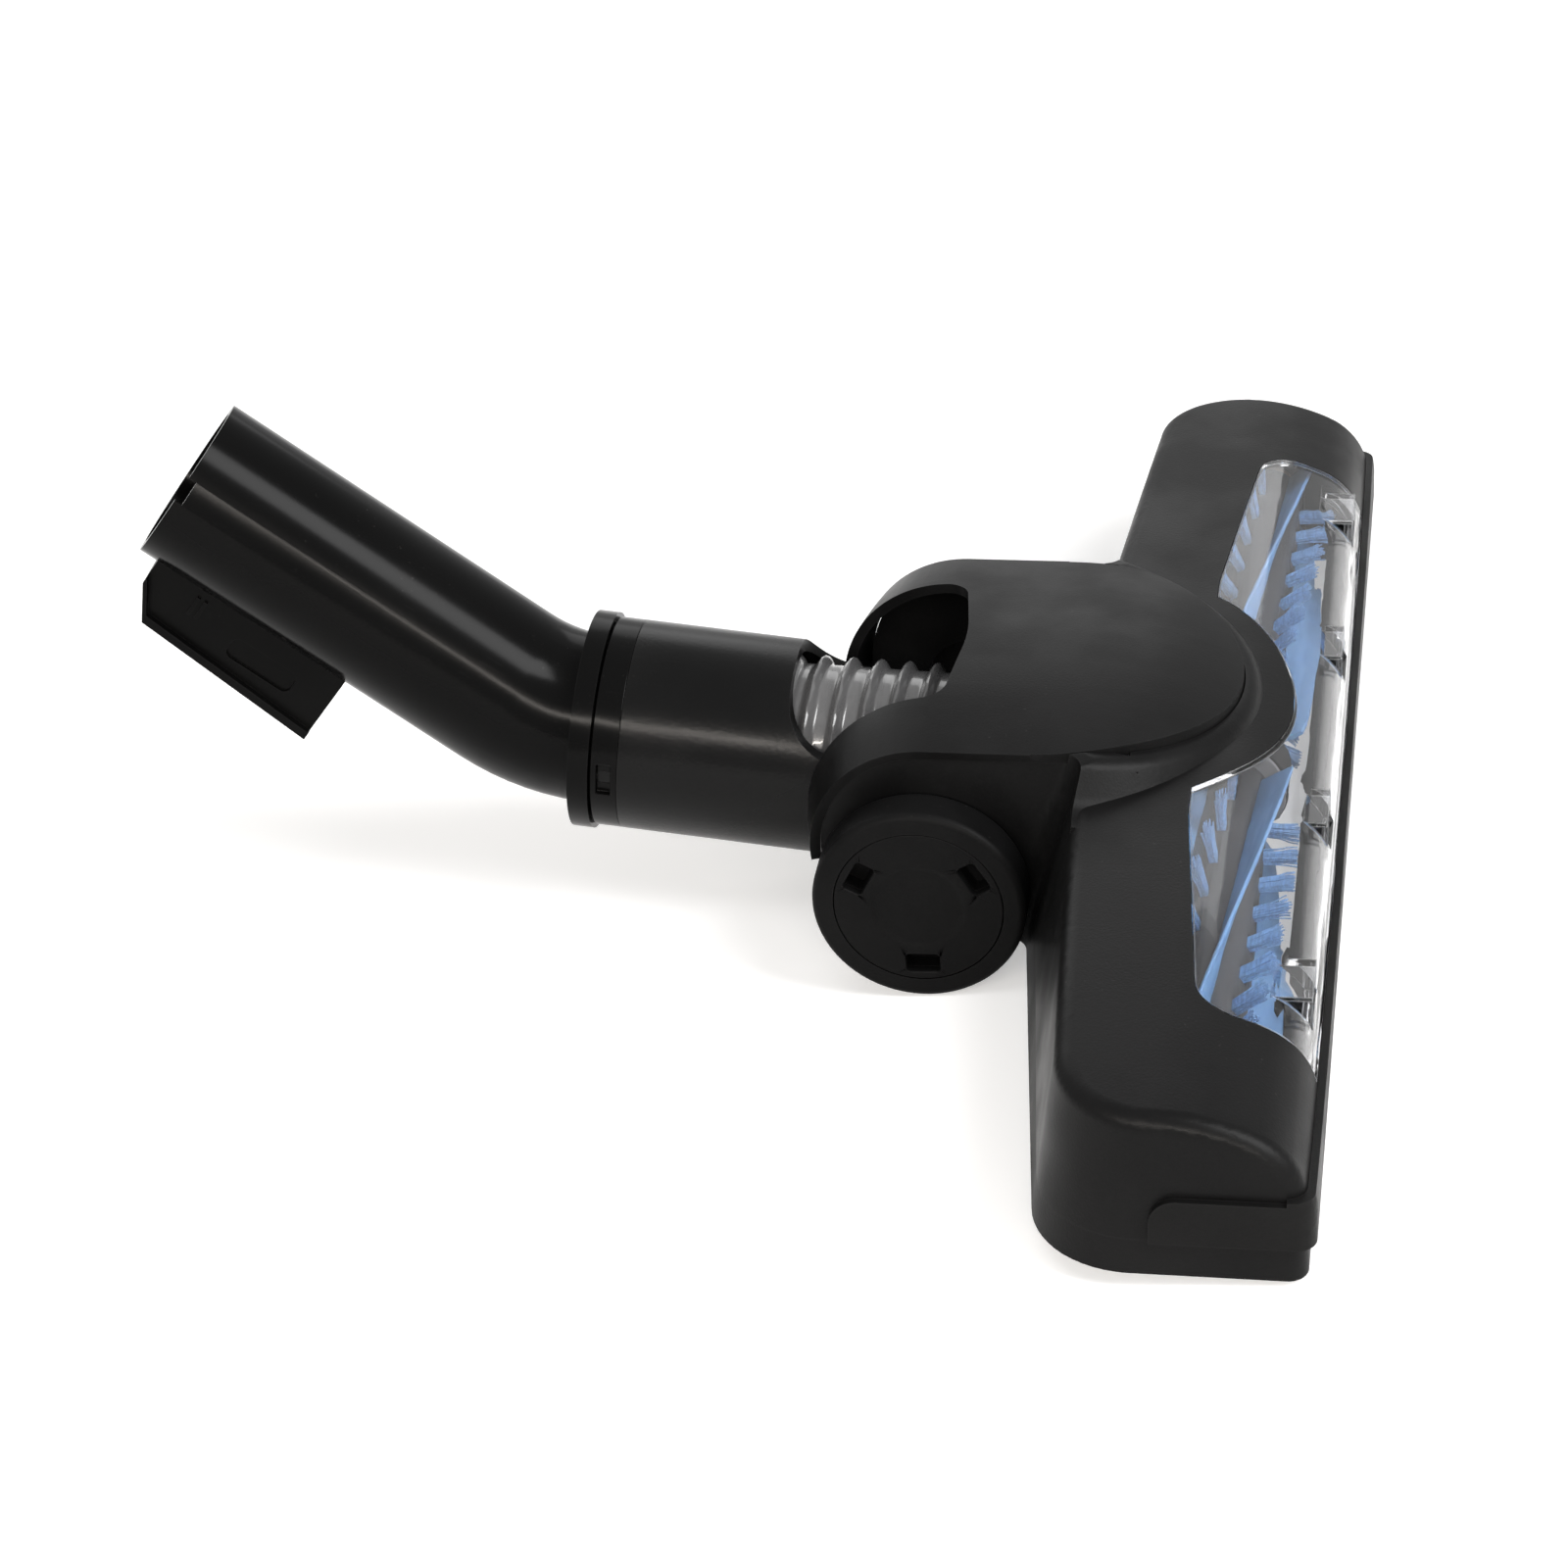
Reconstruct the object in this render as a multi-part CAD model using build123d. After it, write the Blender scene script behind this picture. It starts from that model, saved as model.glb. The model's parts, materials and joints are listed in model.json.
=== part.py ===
from build123d import *
import math
import os

# Air-driven floor brush head of a vacuum cleaner, in millimetres, +Z up, floor at z = 0.
# The model is drawn square to its sole, with x = 0 at the neck's pivot and +X towards the window.
# At the end it is leaned to stand on wheels and front runner, with the origin under the middle of its box.

# Head bar: crowned top, rounded brow, drafted rear and end walls
HEAD_END = 22.5              # from the roller's end to the end wall at the floor
END_DRAFT = 3.0              # end walls lean in by this much at DRAFT_TOP_Z
FRONT_REACH = 23.0           # from the roller's axis to the front wall
HEADROOM = 7.4               # from the blade tips to the top of the bar
CROWN_RADIUS = 2340.0        # top sags towards both ends
CROWN_SPAN = 1.2             # crown's arc beyond the head's length, as a factor
BROW_RADIUS = 45.0
BROW_ANGLE = 26.0
LIP_RADIUS = 16.5
REAR_MID_X = 19.5            # rear wall beside the yoke, at the floor
REAR_END_X = 32.5            # rear wall at the head's ends, at the floor
REAR_TOP_MID_X = 34.0        # the same at DRAFT_TOP_Z
REAR_TOP_END_X = 38.5
DRAFT_TOP_Z = 52.0
SHOULDER_RADIUS = 5.0        # concave sweep from yoke wall to rear wall
CORNER_RADIUS = 20.0
RIDGE_RADIUS = 4.0
WALL = 2.5
PARTING_Z = 9.0
BASE_Z = 1.5
BASE_FLOOR = 2.5

# Nose: cover dome, skirt round it
NOSE_X = 22.0                # centre of the cover's round front
COVER_HALF = 40.5            # half width of the cover and radius of its front
COVER_RISE = 27.4            # cover's edge above the neck's pivot
COVER_CROWN = 4.5
COVER_WALL = 2.2
COVER_REAR_X = 0.0           # where the rear arc starts
COVER_REAR_RADIUS = 24.0
COVER_REAR_ANGLE = 97.0
COVER_FALL_X = 30.0          # where the top starts to fall to the front
COVER_FALL_RADIUS = 62.0
COVER_FALL_ANGLE = 42.0
SEAM_GAP = 0.3
PARTITION_GAP = 1.1          # from the blade tips to the wall between turbine and brush
PARTITION_WALL = 1.8
SKIRT_TILT = 10.9
SKIRT_RISE = 2.3             # skirt rim above the cover's edge, over NOSE_X
SKIRT_RIM_WIDTH = 3.2
SKIRT_DROP = 8.0
SKIRT_SLOPE_WIDTH = 6.0
SKIRT_FOOT_WIDTH = 6.0
SKIRT_RIM_RADIUS = 4.0
SKIRT_FOOT_RADIUS = 6.0
SKIRT_INSET = 0.2            # skirt ends this far inside the rear wall
NOSE_BORDER = 10.0           # from the cover's front to the window
NECK_GAP_FRONT_X = 2.0       # opening in the cover for hose and neck
NECK_GAP_BOW = 3.0
NECK_GAP_BOW_RADIUS = 48.0
NECK_GAP_SIDE_FRONT = 1.0    # from the neck's side to the opening, at its front
NECK_GAP_SIDE_REAR = 4.0
NECK_GAP_CORNER = 6.0

# Yoke that carries neck and wheels
PIVOT_Z = 18.9               # neck pivot, above x = 0
COVER_OVERHANG = 1.0
YOKE_WALL = 2.6
PIVOT_BOSS_RADIUS = 9.0
CHEEK_BOSS_HEIGHT = 2.0

# Wheels
WHEEL_RADIUS = 22.0
AXLE_X = -0.5
AXLE_Z = 15.6                # above the sole's plane, which leans as the head stands
WHEEL_SET_OUT = 2.0          # from the yoke wall to the wheel
WHEEL_WIDTH = 9.5
WHEEL_EDGE_RADIUS = 1.6
WHEEL_RIM = 4.6              # from the hub cap to the tread
HUB_CAP_THICKNESS = 2.2
HUB_DISH_RADIUS = 10.2
HUB_DISH_SLOPE = 1.6
HUB_DISH_DEPTH = 0.6
HUB_WINDOW_COUNT = 3
HUB_WINDOW_RADIUS = 13.6
HUB_WINDOW_LENGTH = 7.0
HUB_WINDOW_WIDTH = 4.2
HUB_WINDOW_CORNER = 0.8
HUB_WINDOW_PHASE = 32.0
HUB_POCKET_DEPTH = 3.5       # hollow in the wheel behind each window
PIN_RADIUS = 3.0
PIN_HEAD_RADIUS = 5.0
PIN_HEAD_HEIGHT = 2.0
PIN_SEAT = 6.0               # length of a pin inside the yoke's boss
AXLE_BOSS_RADIUS = 6.0
RUNNING_GAP = 0.05           # radial clearance of a shaft in its hole
PRESS_GAP = 0.02             # radial clearance of a pin that stays in its hole
SIDE_GAP = 0.3               # between faces of pieces that move past each other

# Window
WINDOW_SET_BACK = 6.0        # rear edge behind the roller's axis
WINDOW_SLANT = 5.3           # rear edge runs forwards to both ends, in degrees
WINDOW_END = 13.0            # from the window's end to the roller's end
WINDOW_CORNER_RADIUS = 9.0
WINDOW_INNER_Y = 46.6
WINDOW_WALL = 2.0
WINDOW_GAP = 0.2
WINDOW_STEP = 0.9            # sill above the bumper's top
SLOT_INNER_Y = 33.5
SLOT_END = 17.2              # from the window's end to the outer slots
SLOT_LENGTH = 10.5
SLOT_LOW_Z = 25.5
SLOT_HIGH_Z = 31.0
SLOT_RIM = 1.3
SLOT_HOOD_SET = 1.6          # from the front wall back to the hood's face

# Bumper
BUMPER_THICKNESS = 1.5
BUMPER_TOP_Z = 19.6
BUMPER_TAB_STEP = 1.0        # tabs below the strip's top
BUMPER_TAB_REACH = 29.0      # from the front wall to a tab's rear end
BUMPER_TAB_RADIUS = 5.0

# Sole
SOLE_THICKNESS = 1.0
SOLE_INSET = 3.5
MOUTH_REACH_REAR = 17.0      # from the roller's axis to the mouth's rear edge
MOUTH_REACH_FRONT = 14.6
MOUTH_GAP = 1.0              # from the roller's end to the mouth's end
RUNNER_WIDTH = 2.0
RUNNER_EDGE = 0.5            # from the mouth's edge to a runner
SCREW_INNER_Y = 66.0
SCREW_END = 35.5             # from the head's end to the outer screws
SCREW_SET_BACK = 5.5         # behind the mouth
SCREW_RADIUS = 1.5
SCREW_HEAD_RADIUS = 2.9
SCREW_HEAD_HEIGHT = 1.8
SCREW_LENGTH = 12.0
SCREW_BOSS_RADIUS = 4.2

# Brush roller
ROLLER_X = 60.0
ROLLER_LIFT = 1.4            # blade tips above the sole's plane
ROLLER_TIP_RADIUS = 15.4
ROLLER_CORE_RADIUS = 8.0
ROLLER_WAIST_RADIUS = 5.0    # core inside the pulley
ROLLER_HALF = 125.0
ROLLER_SHAFT_RADIUS = 3.0
ROLLER_SHAFT_END = 10.0      # shaft beyond the roller's end
BUSH_RADIUS = 6.0
BUSH_LENGTH = 5.0
BUSH_OFFSET = 1.5            # from roller end to bush
ROLLER_GAP_HALF = 9.0        # bare middle that carries the pulley
HELIX_RATE = 0.6             # degrees per millimetre
BLADE_PHASE = 29.0           # blade angle above +X at the mid-plane
BLADE_COUNT = 4
BLADE_THICKNESS = 1.6
BLADE_SEAT = 1.0             # depth of blade and tuft roots in the core
TUFT_PITCH = 12.0
TUFT_WIDTH = 5.0
TUFT_THICKNESS = 2.4

# Turbine and belt
TURBINE_DROP = 21.3          # axis below the cover's edge
TURBINE_RADIUS = 13.0
TURBINE_Y = (10.0, 28.0)
TURBINE_BLADE_COUNT = 12
TURBINE_BLADE_THICKNESS = 1.2
TURBINE_HUB_RADIUS = 5.0
TURBINE_SHAFT_RADIUS = 2.0
TURBINE_SHAFT_NEAR_Y = -17.0
TURBINE_END_GAP = 0.4        # from the shaft's far end to the yoke wall
TURBINE_BEARING_RADIUS = 4.5
TURBINE_BEARING_LENGTH = 4.0
CASING_WALL = 1.6
CASING_GAP = 1.0             # turbine tip to casing
CASING_FRONT_GAP = 0.5       # casing to partition
PLENUM_REAR_X = 10.0
PLENUM_HALF = 18.5
PINION_RADIUS = 5.0
PULLEY_RADIUS = 10.0
PULLEY_HALF_WIDTH = 5.0
PULLEY_FLANGE = 1.2
BELT_THICKNESS = 1.4
BELT_GAP = 0.3

# Neck
NECK_TILT = 6.15
NECK_RADIUS = 22.45
NECK_WALL = 2.6
NECK_CUT = 34.0              # full tube starts this far from the pivot
NECK_CUT_LOW = 25.0          # the same on its underside
NECK_CUT_RADIUS = 12.0
NECK_CHEEK_HALF = 9.0
NECK_END = 68.2
COLLAR_LENGTH = 5.8
COLLAR_WINDOW_COUNT = 2
COLLAR_WINDOW_ANGLE = -3.0   # from the far side's horizontal
COLLAR_WINDOW_LENGTH = 3.0
COLLAR_WINDOW_WIDTH = 7.5
COLLAR_WALL = 1.6

# Hose
HOSE_Z = 22.5                # hose axis above x = 0
HOSE_TILT = 1.6
HOSE_BORE_RADIUS = 14.6
HOSE_WALL = 1.0
HOSE_RIB_HEIGHT = 1.7
HOSE_PITCH = 6.0
HOSE_FRONT = -8.0            # along the hose axis from x = 0
HOSE_RIB_COUNT = 9
HOSE_ROOM = 0.6              # radial room round the hose where it runs over the tray
CUFF_LENGTH = 6.0
CUFF_GAP = 1.7               # hose end, which leans in the neck, to the cuff
SPIGOT_WALL = 1.5
SPIGOT_LENGTH = 8.0

# Elbow
ELBOW_GAP = 0.3
FLANGE_RIM = 0.9             # flange beyond the neck's radius
ELBOW_FLANGE_LENGTH = 4.4
ELBOW_SPIGOT_LENGTH = 15.0
ELBOW_SPIGOT_WALL = 2.2
ELBOW_BEND = 30.8
BEND_RADIUS = 40.0
BEND_SET_BACK = 2.3          # bend starts this far inside the flange
STEM_LENGTH = 80.6
STEM_WALL = 2.2
SOCKET_RADIUS = 16.0
SOCKET_DEPTH = 42.0
SOCKET_STEP = 1.0            # bore behind the socket is smaller by this
MOUTH_NOTCH_WIDTH = 5.6
MOUTH_NOTCH_DEPTH = 1.8
MOUTH_NOTCH_ANGLE = 24.0     # above the near side
RETAINER_WALL = 1.4
RETAINER_LENGTH = 3.0

# Parking clip, measured from the stem's mouth
CLIP_START = 4.4
CLIP_END = 51.6
CLIP_NOSE_DEPTH = 3.8
CLIP_NOSE_LENGTH = 4.5
CLIP_DEPTH_START = 12.5
CLIP_DEPTH_END = 15.4
CLIP_HALF_WIDTH = 8.5
CLIP_LIP = 1.5
CLIP_LIP_THICKNESS = 2.0
CLIP_RIB_START = 16.0        # first of two grip ribs
CLIP_RIB_PITCH = 1.8
CLIP_RIB_WIDTH = 0.8
CLIP_RIB_HEIGHT = 0.5
CLIP_RIB_LENGTH = 5.0
CLIP_PAD_START = 27.0        # shallow pad on each side
CLIP_PAD_LENGTH = 16.0
CLIP_PAD_WIDTH = 5.5
CLIP_PAD_DROP = 6.2          # pad's middle below the stem's wall
CLIP_PAD_DEPTH = 0.6

# Values that follow from the sizes above
ROLLER_Z = ROLLER_TIP_RADIUS + ROLLER_LIFT
FRONT_X = ROLLER_X + FRONT_REACH
PLATEAU_Z = ROLLER_Z + ROLLER_TIP_RADIUS + HEADROOM
HEAD_HALF_LENGTH = ROLLER_HALF + HEAD_END
HEAD_TOP_HALF_LENGTH = HEAD_HALF_LENGTH - END_DRAFT
BROW_X = FRONT_X - LIP_RADIUS - (BROW_RADIUS - LIP_RADIUS) * math.sin(math.radians(BROW_ANGLE))
PARTITION_X = ROLLER_X - ROLLER_TIP_RADIUS - PARTITION_GAP
COVER_EDGE_Z = PIVOT_Z + COVER_RISE
COVER_REAR_Z = COVER_EDGE_Z - COVER_REAR_RADIUS
COVER_FALL_Z = COVER_EDGE_Z - COVER_FALL_RADIUS
NOSE_OUTLINE_RADIUS = COVER_HALF + NOSE_BORDER
YOKE_HALF = COVER_HALF - COVER_OVERHANG
YOKE_INNER = YOKE_HALF - YOKE_WALL
WHEEL_INNER_Y = YOKE_HALF + WHEEL_SET_OUT
WHEEL_OUTER_Y = WHEEL_INNER_Y + WHEEL_WIDTH
HUB_CAP_RADIUS = WHEEL_RADIUS - WHEEL_RIM
WINDOW_REAR_X = ROLLER_X - WINDOW_SET_BACK
WINDOW_HALF = ROLLER_HALF - WINDOW_END
WINDOW_SILL_Z = BUMPER_TOP_Z + WINDOW_STEP
SLOT_YS = (SLOT_INNER_Y, WINDOW_HALF - SLOT_END)
MOUTH_REAR_X = ROLLER_X - MOUTH_REACH_REAR
MOUTH_FRONT_X = ROLLER_X + MOUTH_REACH_FRONT
MOUTH_HALF = ROLLER_HALF + MOUTH_GAP
FOOT_X = MOUTH_FRONT_X + RUNNER_EDGE + RUNNER_WIDTH
SCREW_X = MOUTH_REAR_X - SCREW_SET_BACK
SCREW_YS = (SCREW_INNER_Y, HEAD_HALF_LENGTH - SCREW_END)
ROLLER_SHAFT_HALF = ROLLER_HALF + ROLLER_SHAFT_END
CASING_BORE = TURBINE_RADIUS + CASING_GAP
TURBINE_X = PARTITION_X - PARTITION_WALL - CASING_FRONT_GAP - CASING_BORE - CASING_WALL
TURBINE_Z = COVER_EDGE_Z - TURBINE_DROP
TURBINE_SHAFT_END_Y = (TURBINE_SHAFT_NEAR_Y, YOKE_INNER - TURBINE_END_GAP)
CASING_Y = (TURBINE_Y[0] - CASING_GAP - CASING_WALL, TURBINE_Y[1] + CASING_GAP + CASING_WALL)
COLLAR_END = NECK_END + COLLAR_LENGTH
NECK_BORE = NECK_RADIUS - NECK_WALL
CHEEK_BOSS_Y = NECK_RADIUS + CHEEK_BOSS_HEIGHT
PIVOT_BOSS_Y = CHEEK_BOSS_Y + SIDE_GAP
HOSE_ROOT_RADIUS = HOSE_BORE_RADIUS + HOSE_WALL
HOSE_CREST_RADIUS = HOSE_ROOT_RADIUS + HOSE_RIB_HEIGHT
HOSE_END = HOSE_FRONT + HOSE_PITCH * HOSE_RIB_COUNT
FLANGE_START = COLLAR_END + ELBOW_GAP
FLANGE_END = FLANGE_START + ELBOW_FLANGE_LENGTH
ELBOW_FLANGE_RADIUS = NECK_RADIUS + FLANGE_RIM
BEND_START = FLANGE_END - BEND_SET_BACK
STEM_RADIUS = SOCKET_RADIUS + STEM_WALL
STEM_BORE_RADIUS = SOCKET_RADIUS - SOCKET_STEP
FAR = 400.0                  # longer than any piece, for through cuts

# The head stands on its wheels and on the front runner, so the sole leans by this angle
HEAD_PITCH = math.degrees(math.asin(WHEEL_RADIUS / math.hypot(FOOT_X - AXLE_X, AXLE_Z))
                          - math.atan2(AXLE_Z, FOOT_X - AXLE_X))


def cylinder_y(radius, y_from, y_to, x, z):
    """Solid cylinder along Y between two heights."""
    circle = Plane(origin=(x, y_from, z), x_dir=(1, 0, 0), z_dir=(0, 1, 0)) * Circle(radius)
    return extrude(circle, y_to - y_from)


def box_between(x0, x1, y0, y1, z0, z1):
    """Box from its limits along each axis."""
    size = (x1 - x0, y1 - y0, z1 - z0)
    return Pos((x0 + x1) / 2, (y0 + y1) / 2, (z0 + z1) / 2) * Box(*size)


def in_xz(radius, angle, x, z):
    """Point of a circle in the XZ plane, angle in degrees from +X towards +Z."""
    turn = math.radians(angle)
    return Vector(x + radius * math.cos(turn), 0, z + radius * math.sin(turn))


def arc_xz(radius, start, end, x, z):
    """Arc in the XZ plane between two angles."""
    middle = (start + end) / 2
    return ThreePointArc(*[in_xz(radius, angle, x, z) for angle in (start, middle, end)])


def both_sides(solid):
    """A solid of the +Y side with its mirror image."""
    return solid + mirror(solid, Plane.XZ)


def head_outline(rear_mid, rear_end, half_length, inset):
    """Plan of the bar at one level, drawn inwards by inset."""
    yoke = YOKE_HALF - inset
    end = half_length - inset
    front = FRONT_X + 2 * BUMPER_THICKNESS + RIDGE_RADIUS
    half = [(rear_mid + inset, yoke), (rear_end + inset, end), (front, end)]
    points = [(0, yoke)] + half + [(x, -y) for x, y in reversed(half)] + [(0, -yoke)]
    radii = [0, SHOULDER_RADIUS + inset, CORNER_RADIUS - inset, 0]
    return make_face(FilletPolyline(*points, radius=radii + radii[::-1], close=True))


def plan_block(inset):
    """Drafted block inside the head's rear and end walls."""
    base = head_outline(REAR_MID_X, REAR_END_X, HEAD_HALF_LENGTH, inset)
    top = head_outline(REAR_TOP_MID_X, REAR_TOP_END_X, HEAD_TOP_HALF_LENGTH, inset)
    return loft([base, Pos(0, 0, DRAFT_TOP_Z) * top], ruled=True)


def crown_block(inset):
    """Block under the crowned top, brow and front wall, before its plan is trimmed."""
    low = -2 * BASE_Z
    brow_z = PLATEAU_Z - BROW_RADIUS
    step = BROW_RADIUS - LIP_RADIUS
    lip = in_xz(step, 90 - BROW_ANGLE, BROW_X, brow_z)
    brow_arc = arc_xz(BROW_RADIUS - inset, 90, 90 - BROW_ANGLE, BROW_X, brow_z)
    lip_arc = arc_xz(LIP_RADIUS - inset, 90 - BROW_ANGLE, 0, lip.X, lip.Z)
    rest = Polyline(lip_arc @ 1, (FRONT_X - inset, 0, low), (-FRONT_X, 0, low),
                    (-FRONT_X, 0, PLATEAU_Z - inset), brow_arc @ 0)
    profile = make_face([*brow_arc.edges(), *lip_arc.edges(), *rest.edges()])
    axis = Axis((0, 0, PLATEAU_Z - CROWN_RADIUS), (1, 0, 0))
    turn = 2 * CROWN_SPAN * math.degrees(HEAD_HALF_LENGTH / CROWN_RADIUS)
    return revolve(profile.rotate(axis, -turn / 2), axis, turn)


def skirt_ring():
    """Sloping band round the nose, turned about an axis that leans forwards."""
    lean = math.radians(SKIRT_TILT)
    plane = Plane(origin=(NOSE_X, 0, COVER_EDGE_Z + SKIRT_RISE),
                  x_dir=(math.cos(lean), 0, -math.sin(lean)),
                  z_dir=(math.sin(lean), 0, math.cos(lean)))
    rim = COVER_HALF + SKIRT_RIM_WIDTH
    foot = rim + SKIRT_SLOPE_WIDTH
    edge = foot + SKIRT_FOOT_WIDTH
    low = -SKIRT_DROP - 2 * WALL
    top = FilletPolyline((0, 0, 0), (rim, 0, 0), (foot, 0, -SKIRT_DROP), (edge, 0, -SKIRT_DROP),
                         radius=[SKIRT_RIM_RADIUS, SKIRT_FOOT_RADIUS])
    rest = Polyline(top @ 1, (edge, 0, low), (0, 0, low), top @ 0)
    ring = revolve(make_face([*top.edges(), *rest.edges()]), Axis.Z, 360)
    return plane.location * ring


def head_block(inset):
    """Bar of the head with its top ridge and front corners rounded."""
    block = crown_block(inset) & plan_block(inset)
    past_shoulder = YOKE_HALF + 2 * SHOULDER_RADIUS / 3
    ridge = [edge for edge in block.edges()
             if abs(edge.center().Y) > past_shoulder and edge.center().Z > LIP_RADIUS]
    corner = [edge for edge in block.edges()
              if abs(edge.center().X - (FRONT_X - inset)) < RIDGE_RADIUS / 4
              and abs(edge.center().Y) > past_shoulder and 0 < edge.center().Z < LIP_RADIUS]
    return fillet(ridge + corner, RIDGE_RADIUS)


def cover_band(rise, thickness, half_width):
    """Arched band that runs over the rear arc, the flat top and the falling front of the cover."""
    arch_radius = (COVER_HALF ** 2 + COVER_CROWN ** 2) / (2 * COVER_CROWN)
    arch_z = COVER_EDGE_Z + COVER_CROWN - arch_radius

    def arch(radius):
        spread = math.asin(half_width / arch_radius)
        points = [(COVER_REAR_X, radius * math.sin(turn), arch_z + radius * math.cos(turn))
                  for turn in (-spread, 0, spread)]
        return ThreePointArc(*points)

    outer = arch(arch_radius + rise)
    inner = arch(arch_radius - thickness)
    sides = [Line(outer @ 0, inner @ 0), Line(outer @ 1, inner @ 1)]
    section = make_face([*outer.edges(), *inner.edges(), *sides[0].edges(), *sides[1].edges()])
    rear = revolve(section, Axis((COVER_REAR_X, 0, COVER_REAR_Z), (0, -1, 0)), COVER_REAR_ANGLE)
    run = COVER_FALL_X - COVER_REAR_X
    top = extrude(section, run, dir=(1, 0, 0))
    fall = Axis((COVER_FALL_X, 0, COVER_FALL_Z), (0, 1, 0))
    front = revolve(Pos(run, 0, 0) * section, fall, COVER_FALL_ANGLE)
    return rear + top + front


def nose_prism(radius, half_width, z_from, z_to):
    """Upright prism with a round front and straight sides."""
    plan = Pos(NOSE_X, 0) * Circle(radius)
    plan += Pos(NOSE_X - FAR / 2, 0) * Rectangle(FAR, 2 * half_width)
    return extrude(Pos(0, 0, z_from) * plan, z_to - z_from)


def neck_gap():
    """Prism of the opening in the cover through which hose and neck pass."""
    front = NECK_GAP_FRONT_X
    front_half = NECK_RADIUS + NECK_GAP_SIDE_FRONT
    sweep_rate = (NECK_GAP_SIDE_REAR - NECK_GAP_SIDE_FRONT) / (front + COVER_REAR_RADIUS)
    rear_half = front_half + sweep_rate * (front + FAR / 4)
    plan = make_face(FilletPolyline(
        (-FAR / 4, rear_half), (front, front_half), (front + NECK_GAP_BOW, 0),
        (front, -front_half), (-FAR / 4, -rear_half),
        radius=[0, NECK_GAP_CORNER, NECK_GAP_BOW_RADIUS, NECK_GAP_CORNER, 0], close=True))
    return extrude(plan, FAR / 4)


def turbine_cover():
    """Domed cover of the nose with its opening for the neck."""
    prism = nose_prism(COVER_HALF - SEAM_GAP, COVER_HALF, 0, FAR)
    return (cover_band(0, COVER_WALL, COVER_HALF) & prism) - neck_gap()


def yoke_side(y_from, y_to):
    """Side wall of the yoke under the cover's edge, from its rear arc into the bar."""
    radius = COVER_REAR_RADIUS - COVER_WALL
    top = COVER_EDGE_Z - COVER_WALL
    fall = COVER_FALL_RADIUS - COVER_WALL
    low_angle = 180 + math.degrees(math.asin((COVER_REAR_Z - PARTING_Z) / radius))
    rear_arc = arc_xz(radius, low_angle, 90, COVER_REAR_X, COVER_REAR_Z)
    flat = Line(rear_arc @ 1, (COVER_FALL_X, 0, top))
    fall_arc = arc_xz(fall, 90, 90 - COVER_FALL_ANGLE / 2, COVER_FALL_X, COVER_FALL_Z)
    end = fall_arc @ 1
    rest = Polyline(end, (end.X, 0, PARTING_Z), rear_arc @ 0)
    pieces = [rear_arc, flat, fall_arc, rest]
    profile = make_face([edge for piece in pieces for edge in piece.edges()])
    return Pos(0, y_to, 0) * extrude(profile, y_to - y_from, dir=(0, -1, 0))


def window_plan(gap):
    """Plan of the window opening, drawn inwards by gap, with the nose cut out of its rear edge."""
    end = WINDOW_HALF - gap
    rear = WINDOW_REAR_X + gap
    corner_x = rear + math.tan(math.radians(WINDOW_SLANT)) * (end - WINDOW_INNER_Y)
    front = FRONT_X + BUMPER_THICKNESS
    half = [(corner_x, end), (front, end)]
    points = [(rear, WINDOW_INNER_Y)] + half + [(x, -y) for x, y in reversed(half)]
    points += [(rear, -WINDOW_INNER_Y)]
    corner = WINDOW_CORNER_RADIUS - gap
    plan = make_face(FilletPolyline(*points, radius=[0, corner, 0, 0, corner, 0], close=True))
    return plan - Pos(NOSE_X, 0) * Circle(NOSE_OUTLINE_RADIUS + gap)


def window_block(gap, sill):
    """Upright prism of the window opening above its sill."""
    return extrude(Pos(0, 0, sill) * window_plan(gap), PLATEAU_Z)


def upper_housing():
    """Upper shell: bar, nose skirt, yoke walls with pivot trunnions and axle bosses."""
    above_cover = cover_band(FAR / 20, 0, NOSE_OUTLINE_RADIUS + SKIRT_FOOT_WIDTH)
    bar = head_block(0)
    skirt = (skirt_ring() & plan_block(SKIRT_INSET)) - above_cover
    sides = yoke_side(YOKE_INNER, YOKE_HALF)
    sides += cylinder_y(PIVOT_BOSS_RADIUS, PIVOT_BOSS_Y, YOKE_INNER, 0, PIVOT_Z)
    sides += cylinder_y(PIN_RADIUS, NECK_BORE + SIDE_GAP, PIVOT_BOSS_Y, 0, PIVOT_Z)
    sides += cylinder_y(AXLE_BOSS_RADIUS, YOKE_HALF, WHEEL_INNER_Y - SIDE_GAP, AXLE_X, AXLE_Z)
    shell = bar + skirt - (crown_block(WALL) & plan_block(WALL))
    room_front = PARTITION_X - PARTITION_WALL
    shell -= box_between(-FAR, room_front, -YOKE_INNER, YOKE_INNER, 0, FAR)
    shell += both_sides(sides & box_between(-FAR, PARTITION_X, 0, FAR, 0, FAR)) + partition(bar)
    for y in SCREW_YS:
        post = Pos(SCREW_X, y, 0) * Cylinder(SCREW_BOSS_RADIUS, 2 * PLATEAU_Z)
        shell += both_sides(post & bar)
    pocket = cover_band(FAR / 20, COVER_WALL, COVER_HALF + WALL)
    shell -= nose_prism(COVER_HALF, COVER_HALF + SEAM_GAP, 0, FAR) & pocket
    shell -= window_block(0, WINDOW_SILL_Z) & crown_block(-WALL)
    shell -= box_between(-FAR, FAR, -FAR, FAR, -FAR, PARTING_Z)
    for y in SCREW_YS:
        pilot = Pos(SCREW_X, y, PARTING_Z) * Cylinder(SCREW_RADIUS, 2 * SCREW_LENGTH)
        shell -= both_sides(pilot)
    pin = cylinder_y(PIN_RADIUS + PRESS_GAP, YOKE_INNER - PIN_SEAT, FAR / 4, AXLE_X, AXLE_Z)
    return shell - both_sides(pin)


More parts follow.
